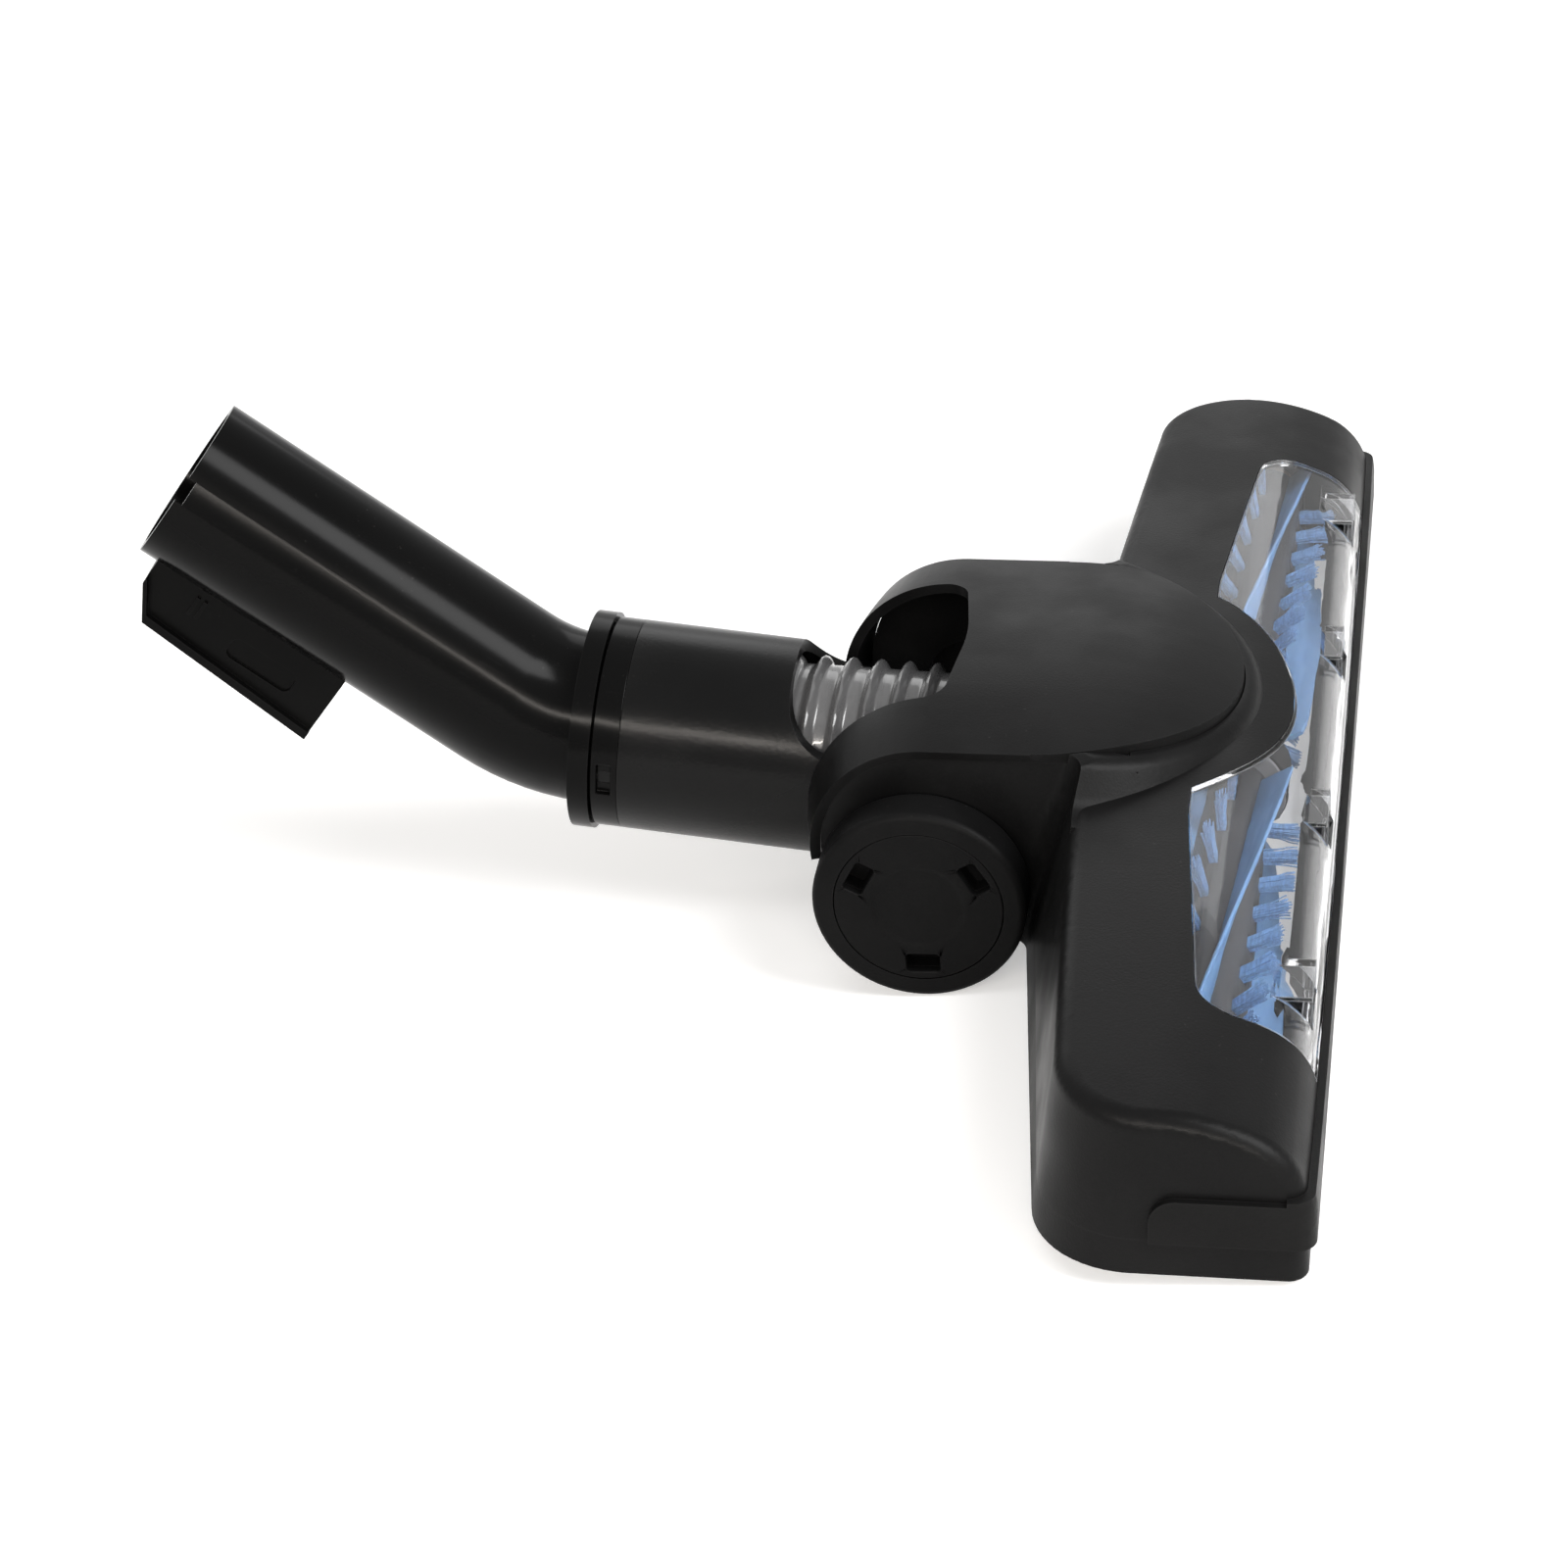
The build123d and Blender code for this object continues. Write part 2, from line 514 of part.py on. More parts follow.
def partition(bar):
    """Wall between turbine and brush with a belt slot and the turbine's air inlet."""
    rear = PARTITION_X - PARTITION_WALL
    wall = bar & box_between(rear, PARTITION_X, -YOKE_HALF, YOKE_HALF, PARTING_Z, FAR)
    belt_half = PULLEY_HALF_WIDTH + PULLEY_FLANGE + SIDE_GAP
    belt_top = TURBINE_Z + PINION_RADIUS + 2 * BELT_THICKNESS
    wall -= box_between(rear, PARTITION_X, -belt_half, belt_half, 0, belt_top)
    return wall - box_between(rear, PARTITION_X, *TURBINE_Y, 0, TURBINE_Z - TURBINE_HUB_RADIUS)


def window():
    """Clear window, flush with the bar, with flat-topped hoods round its air slots."""
    room = crown_block(WINDOW_WALL)
    pane = (crown_block(0) - room) & window_block(WINDOW_GAP, WINDOW_SILL_Z + WINDOW_GAP)
    for y in SLOT_YS:
        half = SLOT_LENGTH / 2
        hood = box_between(ROLLER_X, FRONT_X - SLOT_HOOD_SET, y - half - SLOT_RIM, y + half + SLOT_RIM,
                           SLOT_LOW_Z - SLOT_RIM, SLOT_HIGH_Z + SLOT_RIM)
        slot = box_between(ROLLER_X, FAR, y - half, y + half, SLOT_LOW_Z, SLOT_HIGH_Z)
        pane += both_sides(hood - room)
        pane -= both_sides(slot)
    return pane


def front_bumper():
    """Strip along the front that wraps round both ends as rounded tabs."""
    skin = head_block(-BUMPER_THICKNESS) - head_block(0)
    strip = box_between(FRONT_X - RIDGE_RADIUS, FAR, -FAR, FAR, PARTING_Z + SEAM_GAP, BUMPER_TOP_Z)
    tab_rear = FRONT_X - BUMPER_TAB_REACH
    tab_top = BUMPER_TOP_Z - BUMPER_TAB_STEP
    tab = make_face(FilletPolyline(
        (tab_rear, 0, PARTING_Z + SEAM_GAP), (tab_rear, 0, tab_top),
        (FRONT_X, 0, tab_top), (FRONT_X, 0, PARTING_Z + SEAM_GAP),
        radius=[0, BUMPER_TAB_RADIUS, 0, 0], close=True))
    return skin & (strip + extrude(tab, FAR / 2, both=True))


def lower_housing():
    """Base tray with the yoke's floor, bearing saddles and the mouth in its floor."""
    slab = box_between(-FAR, FAR, -FAR, FAR, BASE_Z, PARTING_Z)
    tray = head_block(0) & slab
    room = crown_block(WALL) & plan_block(WALL)
    tray -= room & box_between(-FAR, FAR, -FAR, FAR, BASE_Z + BASE_FLOOR, FAR)
    yoke = cylinder_y(COVER_REAR_RADIUS - COVER_WALL, -YOKE_HALF, YOKE_HALF, COVER_REAR_X, COVER_REAR_Z)
    yoke_band = box_between(-FAR, NOSE_X, -FAR, FAR, BASE_Z, PARTING_Z)
    yoke_room = box_between(-FAR, NOSE_X, -YOKE_INNER, YOKE_INNER, BASE_Z + BASE_FLOOR, FAR)
    tray += (yoke & yoke_band) - yoke_room
    tray -= box_between(MOUTH_REAR_X, MOUTH_FRONT_X, -MOUTH_HALF, MOUTH_HALF, 0, PARTING_Z)
    bush_y = ROLLER_HALF + BUSH_OFFSET
    tray += both_sides(saddle(ROLLER_X, ROLLER_Z, BUSH_RADIUS, bush_y, bush_y + BUSH_LENGTH))
    for y_from, y_to in turbine_bearing_spans():
        tray += saddle(TURBINE_X, TURBINE_Z, TURBINE_BEARING_RADIUS, y_from, y_to)
    for y in SCREW_YS:
        hole = Pos(SCREW_X, y, BASE_Z) * Cylinder(SCREW_RADIUS + RUNNING_GAP, 2 * PARTING_Z)
        hole += Pos(SCREW_X, y, BASE_Z) * Cylinder(SCREW_HEAD_RADIUS + RUNNING_GAP,
                                                   2 * SCREW_HEAD_HEIGHT)
        tray += both_sides(screw_tower(y))
        tray -= both_sides(hole)
    hose_run = tube(HOSE_CREST_RADIUS + HOSE_ROOM, 0, HOSE_FRONT - HOSE_ROOM, HOSE_END)
    return tray - hose_place() * hose_run


def screw_tower(y):
    """Boss of the tray that a base screw clamps under the upper shell's post."""
    return Pos(SCREW_X, y, BASE_Z) * Cylinder(
        SCREW_BOSS_RADIUS, PARTING_Z - BASE_Z, align=(Align.CENTER, Align.CENTER, Align.MIN))


def saddle(x, z, radius, y_from, y_to):
    """Post that rises from the tray's floor and holds a bush or bearing from below."""
    post = box_between(x - radius - WALL, x + radius + WALL, y_from, y_to, BASE_Z + BASE_FLOOR, z)
    return post - cylinder_y(radius + PRESS_GAP, y_from, y_to, x, z)


def turbine_bearing_spans():
    """Y limits of the two turbine bearings, just inside the ends of the shaft."""
    low, high = TURBINE_SHAFT_END_Y
    return [(low, low + TURBINE_BEARING_LENGTH), (high - TURBINE_BEARING_LENGTH, high)]


def sole_plate():
    """Thin plate under the tray with the suction mouth and glide runners."""
    plan = head_outline(REAR_MID_X, REAR_END_X, HEAD_HALF_LENGTH, SOLE_INSET)
    low = BASE_Z - SOLE_THICKNESS
    plate = extrude(Pos(0, 0, low) * plan, SOLE_THICKNESS)
    plate &= box_between(REAR_MID_X, FRONT_X - SOLE_INSET, -FAR, FAR, 0, BASE_Z)
    plate -= box_between(MOUTH_REAR_X, MOUTH_FRONT_X, -MOUTH_HALF, MOUTH_HALF, 0, BASE_Z)
    for x in (MOUTH_REAR_X - RUNNER_EDGE - RUNNER_WIDTH, MOUTH_FRONT_X + RUNNER_EDGE):
        plate += box_between(x, x + RUNNER_WIDTH, -MOUTH_HALF, MOUTH_HALF, 0, low)
    for y in SCREW_YS:
        plate -= both_sides(Pos(SCREW_X, y, 0) * Cylinder(SCREW_HEAD_RADIUS + RUNNING_GAP, 2 * BASE_Z))
    return plate


def base_screws():
    """Four cross-head screws that clamp the tray to the upper shell."""
    screws = []
    for y in (*SCREW_YS, *[-y for y in SCREW_YS]):
        head = Cylinder(SCREW_HEAD_RADIUS, SCREW_HEAD_HEIGHT, align=(Align.CENTER, Align.CENTER, Align.MIN))
        shank = Cylinder(SCREW_RADIUS, SCREW_LENGTH, align=(Align.CENTER, Align.CENTER, Align.MIN))
        screws.append(Pos(SCREW_X, y, BASE_Z) * (head + shank))
    return Compound(screws)


def wheel():
    """Wheel on the +Y side with a recess for its hub cap and pockets behind the cap's windows."""
    cap_y = WHEEL_OUTER_Y - HUB_CAP_THICKNESS
    head_y = cap_y - PIN_HEAD_HEIGHT - SIDE_GAP
    section = make_face(FilletPolyline(
        (0, WHEEL_INNER_Y), (WHEEL_RADIUS, WHEEL_INNER_Y), (WHEEL_RADIUS, WHEEL_OUTER_Y),
        (0, WHEEL_OUTER_Y), radius=[0, WHEEL_EDGE_RADIUS, WHEEL_EDGE_RADIUS, 0], close=True))
    turned = Pos(AXLE_X, 0, AXLE_Z) * revolve(section, Axis.Y, 360)
    turned -= cylinder_y(HUB_CAP_RADIUS + SEAM_GAP / 2, cap_y, FAR, AXLE_X, AXLE_Z)
    turned -= cylinder_y(PIN_HEAD_RADIUS + SIDE_GAP, head_y, FAR, AXLE_X, AXLE_Z)
    for pocket in hub_windows(cap_y - HUB_POCKET_DEPTH):
        turned -= pocket
    return turned - cylinder_y(PIN_RADIUS + RUNNING_GAP, 0, FAR, AXLE_X, AXLE_Z)


def hub_windows(y_from):
    """Rounded prisms of the hub cap's windows, outwards from a place along the axle."""
    prisms = []
    for index in range(HUB_WINDOW_COUNT):
        angle = HUB_WINDOW_PHASE + 360 * index / HUB_WINDOW_COUNT
        plan = RectangleRounded(HUB_WINDOW_WIDTH, HUB_WINDOW_LENGTH, HUB_WINDOW_CORNER)
        plane = Plane(origin=(HUB_WINDOW_RADIUS, y_from, 0), x_dir=(1, 0, 0), z_dir=(0, 1, 0))
        prisms.append(Pos(AXLE_X, 0, AXLE_Z) * Rot(0, -angle, 0) * extrude(plane * plan, FAR / 4))
    return prisms


def hub_cap():
    """Snap-in cap of the +Y wheel with a shallow dish and its snap windows."""
    low = WHEEL_OUTER_Y - HUB_CAP_THICKNESS
    cap = cylinder_y(HUB_CAP_RADIUS, low, WHEEL_OUTER_Y, AXLE_X, AXLE_Z)
    dish = make_face(Polyline(
        (0, WHEEL_OUTER_Y), (HUB_DISH_RADIUS, WHEEL_OUTER_Y),
        (HUB_DISH_RADIUS - HUB_DISH_SLOPE, WHEEL_OUTER_Y - HUB_DISH_DEPTH),
        (0, WHEEL_OUTER_Y - HUB_DISH_DEPTH), close=True))
    cap -= Pos(AXLE_X, 0, AXLE_Z) * revolve(dish, Axis.Y, 360)
    for prism in hub_windows(low):
        cap -= prism
    return cap


def axle_pin():
    """Headed pin of the +Y side, from the yoke's boss out to the wheel's hub."""
    head_y = WHEEL_OUTER_Y - HUB_CAP_THICKNESS - SIDE_GAP
    pin = cylinder_y(PIN_RADIUS, YOKE_INNER - PIN_SEAT, head_y, AXLE_X, AXLE_Z)
    return pin + cylinder_y(PIN_HEAD_RADIUS, head_y - PIN_HEAD_HEIGHT + SIDE_GAP, head_y, AXLE_X, AXLE_Z)


def roller_angle(y):
    """Angle of the first blade at a place along the roller."""
    return BLADE_PHASE - HELIX_RATE * y


def roller_spans():
    """The two bristled halves of the roller, each from its +Y end to its -Y end."""
    return [(ROLLER_HALF, ROLLER_GAP_HALF), (-ROLLER_GAP_HALF, -ROLLER_HALF)]


def roller_blades():
    """Flexible helical blades, four on each half of the roller."""
    root = ROLLER_CORE_RADIUS - BLADE_SEAT
    reach = ROLLER_TIP_RADIUS - root
    blades = []
    for y_high, y_low in roller_spans():
        for index in range(BLADE_COUNT):
            plane = Plane(origin=(0, y_high, 0), x_dir=(1, 0, 0), z_dir=(0, -1, 0))
            strip = plane * Pos(root + reach / 2, 0) * Rectangle(reach, BLADE_THICKNESS)
            length = y_high - y_low
            solid = Solid.extrude_linear_with_rotation(
                strip.face(), (0, y_high, 0), (0, -length, 0), HELIX_RATE * length)
            angle = roller_angle(y_high) + 360 * index / BLADE_COUNT
            blades.append(Pos(ROLLER_X, 0, ROLLER_Z) * Rot(0, -angle, 0) * solid)
    return Compound(blades)


def bristle_tufts():
    """Bristle bundles in helical rows half-way between the blades."""
    root = ROLLER_CORE_RADIUS - BLADE_SEAT
    reach = ROLLER_TIP_RADIUS - root
    tufts = []
    for y_high, y_low in roller_spans():
        count = int((y_high - y_low) // TUFT_PITCH)
        margin = (y_high - y_low - (count - 1) * TUFT_PITCH) / 2
        for row in range(BLADE_COUNT):
            for index in range(count):
                y = y_low + margin + index * TUFT_PITCH
                angle = roller_angle(y) + 360 * (row + 0.5) / BLADE_COUNT
                bundle = Pos(root + reach / 2, y, 0) * Box(reach, TUFT_WIDTH, TUFT_THICKNESS)
                tufts.append(Pos(ROLLER_X, 0, ROLLER_Z) * Rot(0, -angle, 0) * bundle)
    return Compound(tufts)


def roller_core(blades, tufts):
    """Moulded core of the roller with grooves for the blades and holes for the tufts."""
    core = cylinder_y(ROLLER_CORE_RADIUS, -ROLLER_HALF, ROLLER_HALF, ROLLER_X, ROLLER_Z)
    pulley_half = PULLEY_HALF_WIDTH + PULLEY_FLANGE
    waist = cylinder_y(ROLLER_CORE_RADIUS + WALL, -pulley_half, pulley_half, ROLLER_X, ROLLER_Z)
    core -= waist - cylinder_y(ROLLER_WAIST_RADIUS, -FAR, FAR, ROLLER_X, ROLLER_Z)
    core -= cylinder_y(ROLLER_SHAFT_RADIUS + PRESS_GAP, -FAR, FAR, ROLLER_X, ROLLER_Z)
    return core - [*blades.solids(), *tufts.solids()]


def pulley(radius, bore, half_width, flange, x, z):
    """Flanged belt pulley at the mid-plane."""
    wheel_body = cylinder_y(radius, -half_width, half_width, x, z)
    for side in (-1, 1):
        edges = sorted((side * half_width, side * (half_width + PULLEY_FLANGE)))
        wheel_body += cylinder_y(radius + flange, *edges, x, z)
    return wheel_body - cylinder_y(bore, -FAR, FAR, x, z)


def drive_belt():
    """Flat belt round pinion and pulley."""
    plane = Plane(origin=(0, -PULLEY_HALF_WIDTH + BELT_GAP, 0), x_dir=(1, 0, 0), z_dir=(0, 1, 0))

    def loop(extra):
        pinion = Pos(TURBINE_X, -TURBINE_Z) * Circle(PINION_RADIUS + BELT_GAP + extra)
        driven = Pos(ROLLER_X, -ROLLER_Z) * Circle(PULLEY_RADIUS + BELT_GAP + extra)
        return make_hull([*pinion.edges(), *driven.edges()])

    ring = loop(BELT_THICKNESS) - loop(0)
    return extrude(plane * ring, 2 * (PULLEY_HALF_WIDTH - BELT_GAP))


def turbine_wheel():
    """Impulse turbine: hub, back disc and curved blades."""
    low, high = TURBINE_Y
    hub = cylinder_y(TURBINE_HUB_RADIUS, low, high, 0, 0)
    hub += cylinder_y(TURBINE_RADIUS, low, low + TURBINE_BLADE_THICKNESS, 0, 0)
    middle = (TURBINE_HUB_RADIUS + TURBINE_RADIUS) / 2
    bow = TURBINE_BLADE_THICKNESS * 2
    root = TURBINE_HUB_RADIUS - TURBINE_BLADE_THICKNESS
    front = ThreePointArc((root, 0, 0), (middle, 0, bow), (TURBINE_RADIUS, 0, 0))
    back = Pos(0, 0, TURBINE_BLADE_THICKNESS) * front
    ends = [Line(front @ 0, back @ 0), Line(front @ 1, back @ 1)]
    face = make_face([edge for line in (front, back, *ends) for edge in line.edges()])
    blade = Pos(0, high, 0) * extrude(face, high - low, dir=(0, -1, 0))
    blade &= cylinder_y(TURBINE_RADIUS, low, high, 0, 0)
    for index in range(TURBINE_BLADE_COUNT):
        hub += Rot(0, 360 * index / TURBINE_BLADE_COUNT, 0) * blade
    hub -= cylinder_y(TURBINE_SHAFT_RADIUS + PRESS_GAP, -FAR, FAR, 0, 0)
    return Pos(TURBINE_X, 0, TURBINE_Z) * hub


def turbine_casing():
    """Drum round the turbine, with the plenum and spigot that lead into the hose."""
    low, high = CASING_Y
    outer = CASING_BORE + CASING_WALL
    drum = cylinder_y(outer, low, high, TURBINE_X, TURBINE_Z)
    plenum_z = (HOSE_Z - PLENUM_HALF + CASING_WALL, HOSE_Z + PLENUM_HALF - CASING_WALL)
    plenum_front = TURBINE_X - CASING_BORE / 2
    plenum = box_between(PLENUM_REAR_X, plenum_front, -PLENUM_HALF, high, *plenum_z)
    belt_room = cylinder_y(PINION_RADIUS + PULLEY_FLANGE * 4, -FAR, low, TURBINE_X, TURBINE_Z)
    room = cylinder_y(CASING_BORE, low + CASING_WALL, high - CASING_WALL, TURBINE_X, TURBINE_Z)
    room += box_between(PLENUM_REAR_X + CASING_WALL, plenum_front - CASING_WALL,
                        -PLENUM_HALF + CASING_WALL, high - CASING_WALL,
                        plenum_z[0] + CASING_WALL, plenum_z[1] - CASING_WALL)
    inlet = box_between(TURBINE_X, FAR, TURBINE_Y[0], TURBINE_Y[1], TURBINE_Z - outer,
                        TURBINE_Z - TURBINE_HUB_RADIUS)
    spigot_root = -PLENUM_REAR_X - CASING_WALL
    spigot = tube(HOSE_BORE_RADIUS - PRESS_GAP, 0, spigot_root, HOSE_FRONT + SPIGOT_LENGTH)
    port = tube(HOSE_BORE_RADIUS - SPIGOT_WALL, 0, 2 * spigot_root, SPIGOT_LENGTH)
    casing = drum + plenum + hose_place() * spigot - room - hose_place() * port - inlet - belt_room
    return casing - cylinder_y(TURBINE_SHAFT_RADIUS + SIDE_GAP, -FAR, FAR, TURBINE_X, TURBINE_Z)


def rear_place(z, tilt):
    """Place above x = 0 with +Z rearwards, raised by a tilt, and +X square to it and up."""
    turn = math.radians(tilt)
    return Plane(origin=(0, 0, z), x_dir=(math.sin(turn), 0, math.cos(turn)),
                 z_dir=(-math.cos(turn), 0, math.sin(turn))).location


def neck_place():
    """Place of the neck, with its origin on the pivot."""
    return rear_place(PIVOT_Z, NECK_TILT)


def hose_place():
    """Place of the hose, which leans a little towards the casing's spigot."""
    return rear_place(HOSE_Z, HOSE_TILT)


def tube(outer, inner, start, end):
    """Plain tube along +Z, or a rod where the inner radius is 0."""
    ring = Circle(outer) - Circle(inner) if inner else Circle(outer)
    return extrude(Pos(0, 0, start) * ring, end - start)


def neck_tube():
    """Tilting neck: a tube cut back to two cheeks that turn on the yoke's trunnions."""
    half = NECK_CHEEK_HALF
    wide = NECK_RADIUS + NECK_WALL
    body = tube(NECK_RADIUS, NECK_BORE, -half, NECK_END)
    body += tube(NECK_RADIUS - COLLAR_WALL, NECK_BORE, NECK_END, COLLAR_END)
    keep = make_face(FilletPolyline(
        (half, 0, 0), (half, 0, NECK_CUT), (wide, 0, NECK_CUT), (wide, 0, FAR), (-wide, 0, FAR),
        (-wide, 0, NECK_CUT_LOW), (-half, 0, NECK_CUT_LOW), (-half, 0, 0),
        radius=[0, NECK_CUT_RADIUS, 0, 0, 0, 0, NECK_CUT_RADIUS, 0], close=True))
    side_view = extrude(keep, FAR / 4, both=True) + cylinder_y(half, -FAR / 4, FAR / 4, 0, 0)
    boss = cylinder_y(half, NECK_BORE, CHEEK_BOSS_Y, 0, 0)
    body = (body & side_view) + both_sides(boss)
    return neck_place() * (body - cylinder_y(PIN_RADIUS + RUNNING_GAP, -FAR, FAR, 0, 0))


def swivel_collar():
    """Glossy ring snapped over the end of the neck."""
    ring = tube(NECK_RADIUS, NECK_RADIUS - COLLAR_WALL + PRESS_GAP, NECK_END, COLLAR_END)
    for index in range(COLLAR_WINDOW_COUNT):
        angle = COLLAR_WINDOW_ANGLE + 360 * index / COLLAR_WINDOW_COUNT
        hole = Pos(0, NECK_RADIUS, (NECK_END + COLLAR_END) / 2) * Box(
            COLLAR_WINDOW_WIDTH, 2 * COLLAR_WALL + 2 * PRESS_GAP, COLLAR_WINDOW_LENGTH)
        ring -= Rot(0, 0, angle) * hole
    return neck_place() * ring


def corrugated_hose():
    """Ribbed hose from the casing's spigot past the pivot into the neck."""
    quarter = HOSE_PITCH / 4
    points = [(HOSE_BORE_RADIUS, 0, HOSE_FRONT)]
    for index in range(HOSE_RIB_COUNT):
        z = HOSE_FRONT + index * HOSE_PITCH
        points += [(HOSE_ROOT_RADIUS, 0, z), (HOSE_ROOT_RADIUS, 0, z + quarter / 2),
                   (HOSE_CREST_RADIUS, 0, z + 3 * quarter / 2), (HOSE_CREST_RADIUS, 0, z + 5 * quarter / 2),
                   (HOSE_ROOT_RADIUS, 0, z + 7 * quarter / 2)]
    points += [(HOSE_ROOT_RADIUS, 0, HOSE_END), (HOSE_BORE_RADIUS, 0, HOSE_END)]
    return hose_place() * revolve(make_face(Polyline(*points, close=True)), Axis.Z, 360)


def hose_cuff():
    """Ring that holds the hose's end in the neck's bore."""
    start = HOSE_END + CUFF_GAP
    return neck_place() * tube(NECK_BORE - PRESS_GAP, HOSE_BORE_RADIUS, start, start + CUFF_LENGTH)


def stem_place():
    """Place of the stem in the neck's frame: origin at the end of the bend, +Z towards the mouth."""
    bend = math.radians(ELBOW_BEND)
    origin = (BEND_RADIUS * (1 - math.cos(bend)), 0, BEND_START + BEND_RADIUS * math.sin(bend))
    return Plane(origin=origin, x_dir=(math.cos(bend), 0, -math.sin(bend)),
                 z_dir=(math.sin(bend), 0, math.cos(bend))).location


def bent_rod(radius):
    """Rod that turns from the neck's axis to the stem's."""
    disc = Pos(0, 0, BEND_START) * Circle(radius)
    return revolve(disc, Axis((BEND_RADIUS, 0, BEND_START), (0, 1, 0)), ELBOW_BEND)


def elbow_tube():
    """Swivelling elbow: spigot in the neck, flange, bend, stem and wand socket."""
    spigot = NECK_BORE - RUNNING_GAP
    spigot_start = FLANGE_START - ELBOW_SPIGOT_LENGTH
    body = tube(spigot, 0, spigot_start, FLANGE_START)
    body += tube(ELBOW_FLANGE_RADIUS, 0, FLANGE_START, FLANGE_END)
    body += bent_rod(STEM_RADIUS) + stem_place() * tube(STEM_RADIUS, 0, 0, STEM_LENGTH)
    body -= tube(spigot - ELBOW_SPIGOT_WALL, 0, spigot_start, BEND_START)
    notch = Pos(0, -STEM_RADIUS, STEM_LENGTH) * Box(
        MOUTH_NOTCH_WIDTH, 2 * STEM_RADIUS, 2 * MOUTH_NOTCH_DEPTH)
    room = tube(STEM_BORE_RADIUS, 0, 0, STEM_LENGTH)
    room += tube(SOCKET_RADIUS, 0, STEM_LENGTH - SOCKET_DEPTH, STEM_LENGTH)
    body -= bent_rod(STEM_BORE_RADIUS) + stem_place() * room
    return neck_place() * (body - stem_place() * (Rot(0, 0, MOUTH_NOTCH_ANGLE) * notch))


def swivel_retainer():
    """Split ring inside the neck that keeps the elbow's spigot from pulling out."""
    end = FLANGE_START - ELBOW_SPIGOT_LENGTH - SIDE_GAP
    ring = tube(NECK_BORE - PRESS_GAP, NECK_BORE - RETAINER_WALL - ELBOW_SPIGOT_WALL,
                end - RETAINER_LENGTH, end)
    return neck_place() * ring


def parking_clip():
    """Hooked rail under the stem that parks the brush head on the cleaner's body."""
    start = STEM_LENGTH - CLIP_START
    end = STEM_LENGTH - CLIP_END
    side = make_face(Polyline(
        (-STEM_RADIUS / 2, 0, start), (-STEM_RADIUS - CLIP_NOSE_DEPTH, 0, start),
        (-STEM_RADIUS - CLIP_DEPTH_START, 0, start - CLIP_NOSE_LENGTH),
        (-STEM_RADIUS - CLIP_DEPTH_END, 0, end), (-STEM_RADIUS / 2, 0, end), close=True))
    lip = extrude(side, CLIP_HALF_WIDTH + CLIP_LIP, both=True)
    lip -= Pos(CLIP_LIP_THICKNESS, 0, 0) * extrude(side, FAR, both=True)
    rail = extrude(side, CLIP_HALF_WIDTH, both=True) + lip
    for index in range(2):
        along = STEM_LENGTH - CLIP_RIB_START - index * CLIP_RIB_PITCH
        rail += Pos(-STEM_RADIUS - CLIP_RIB_LENGTH / 2, 0, along) * Box(
            CLIP_RIB_LENGTH, 2 * (CLIP_HALF_WIDTH + CLIP_RIB_HEIGHT), CLIP_RIB_WIDTH)
    pad_z = STEM_LENGTH - CLIP_PAD_START - CLIP_PAD_LENGTH / 2
    pad = Plane(origin=(-STEM_RADIUS - CLIP_PAD_DROP, CLIP_HALF_WIDTH - CLIP_PAD_DEPTH, pad_z),
                x_dir=(1, 0, 0), z_dir=(0, 1, 0)) * RectangleRounded(
                    CLIP_PAD_WIDTH, CLIP_PAD_LENGTH, CLIP_PAD_WIDTH / 3)
    rail -= both_sides(extrude(pad, 2 * CLIP_PAD_DEPTH))
    rail -= Cylinder(STEM_RADIUS, FAR)
    return neck_place() * stem_place() * rail


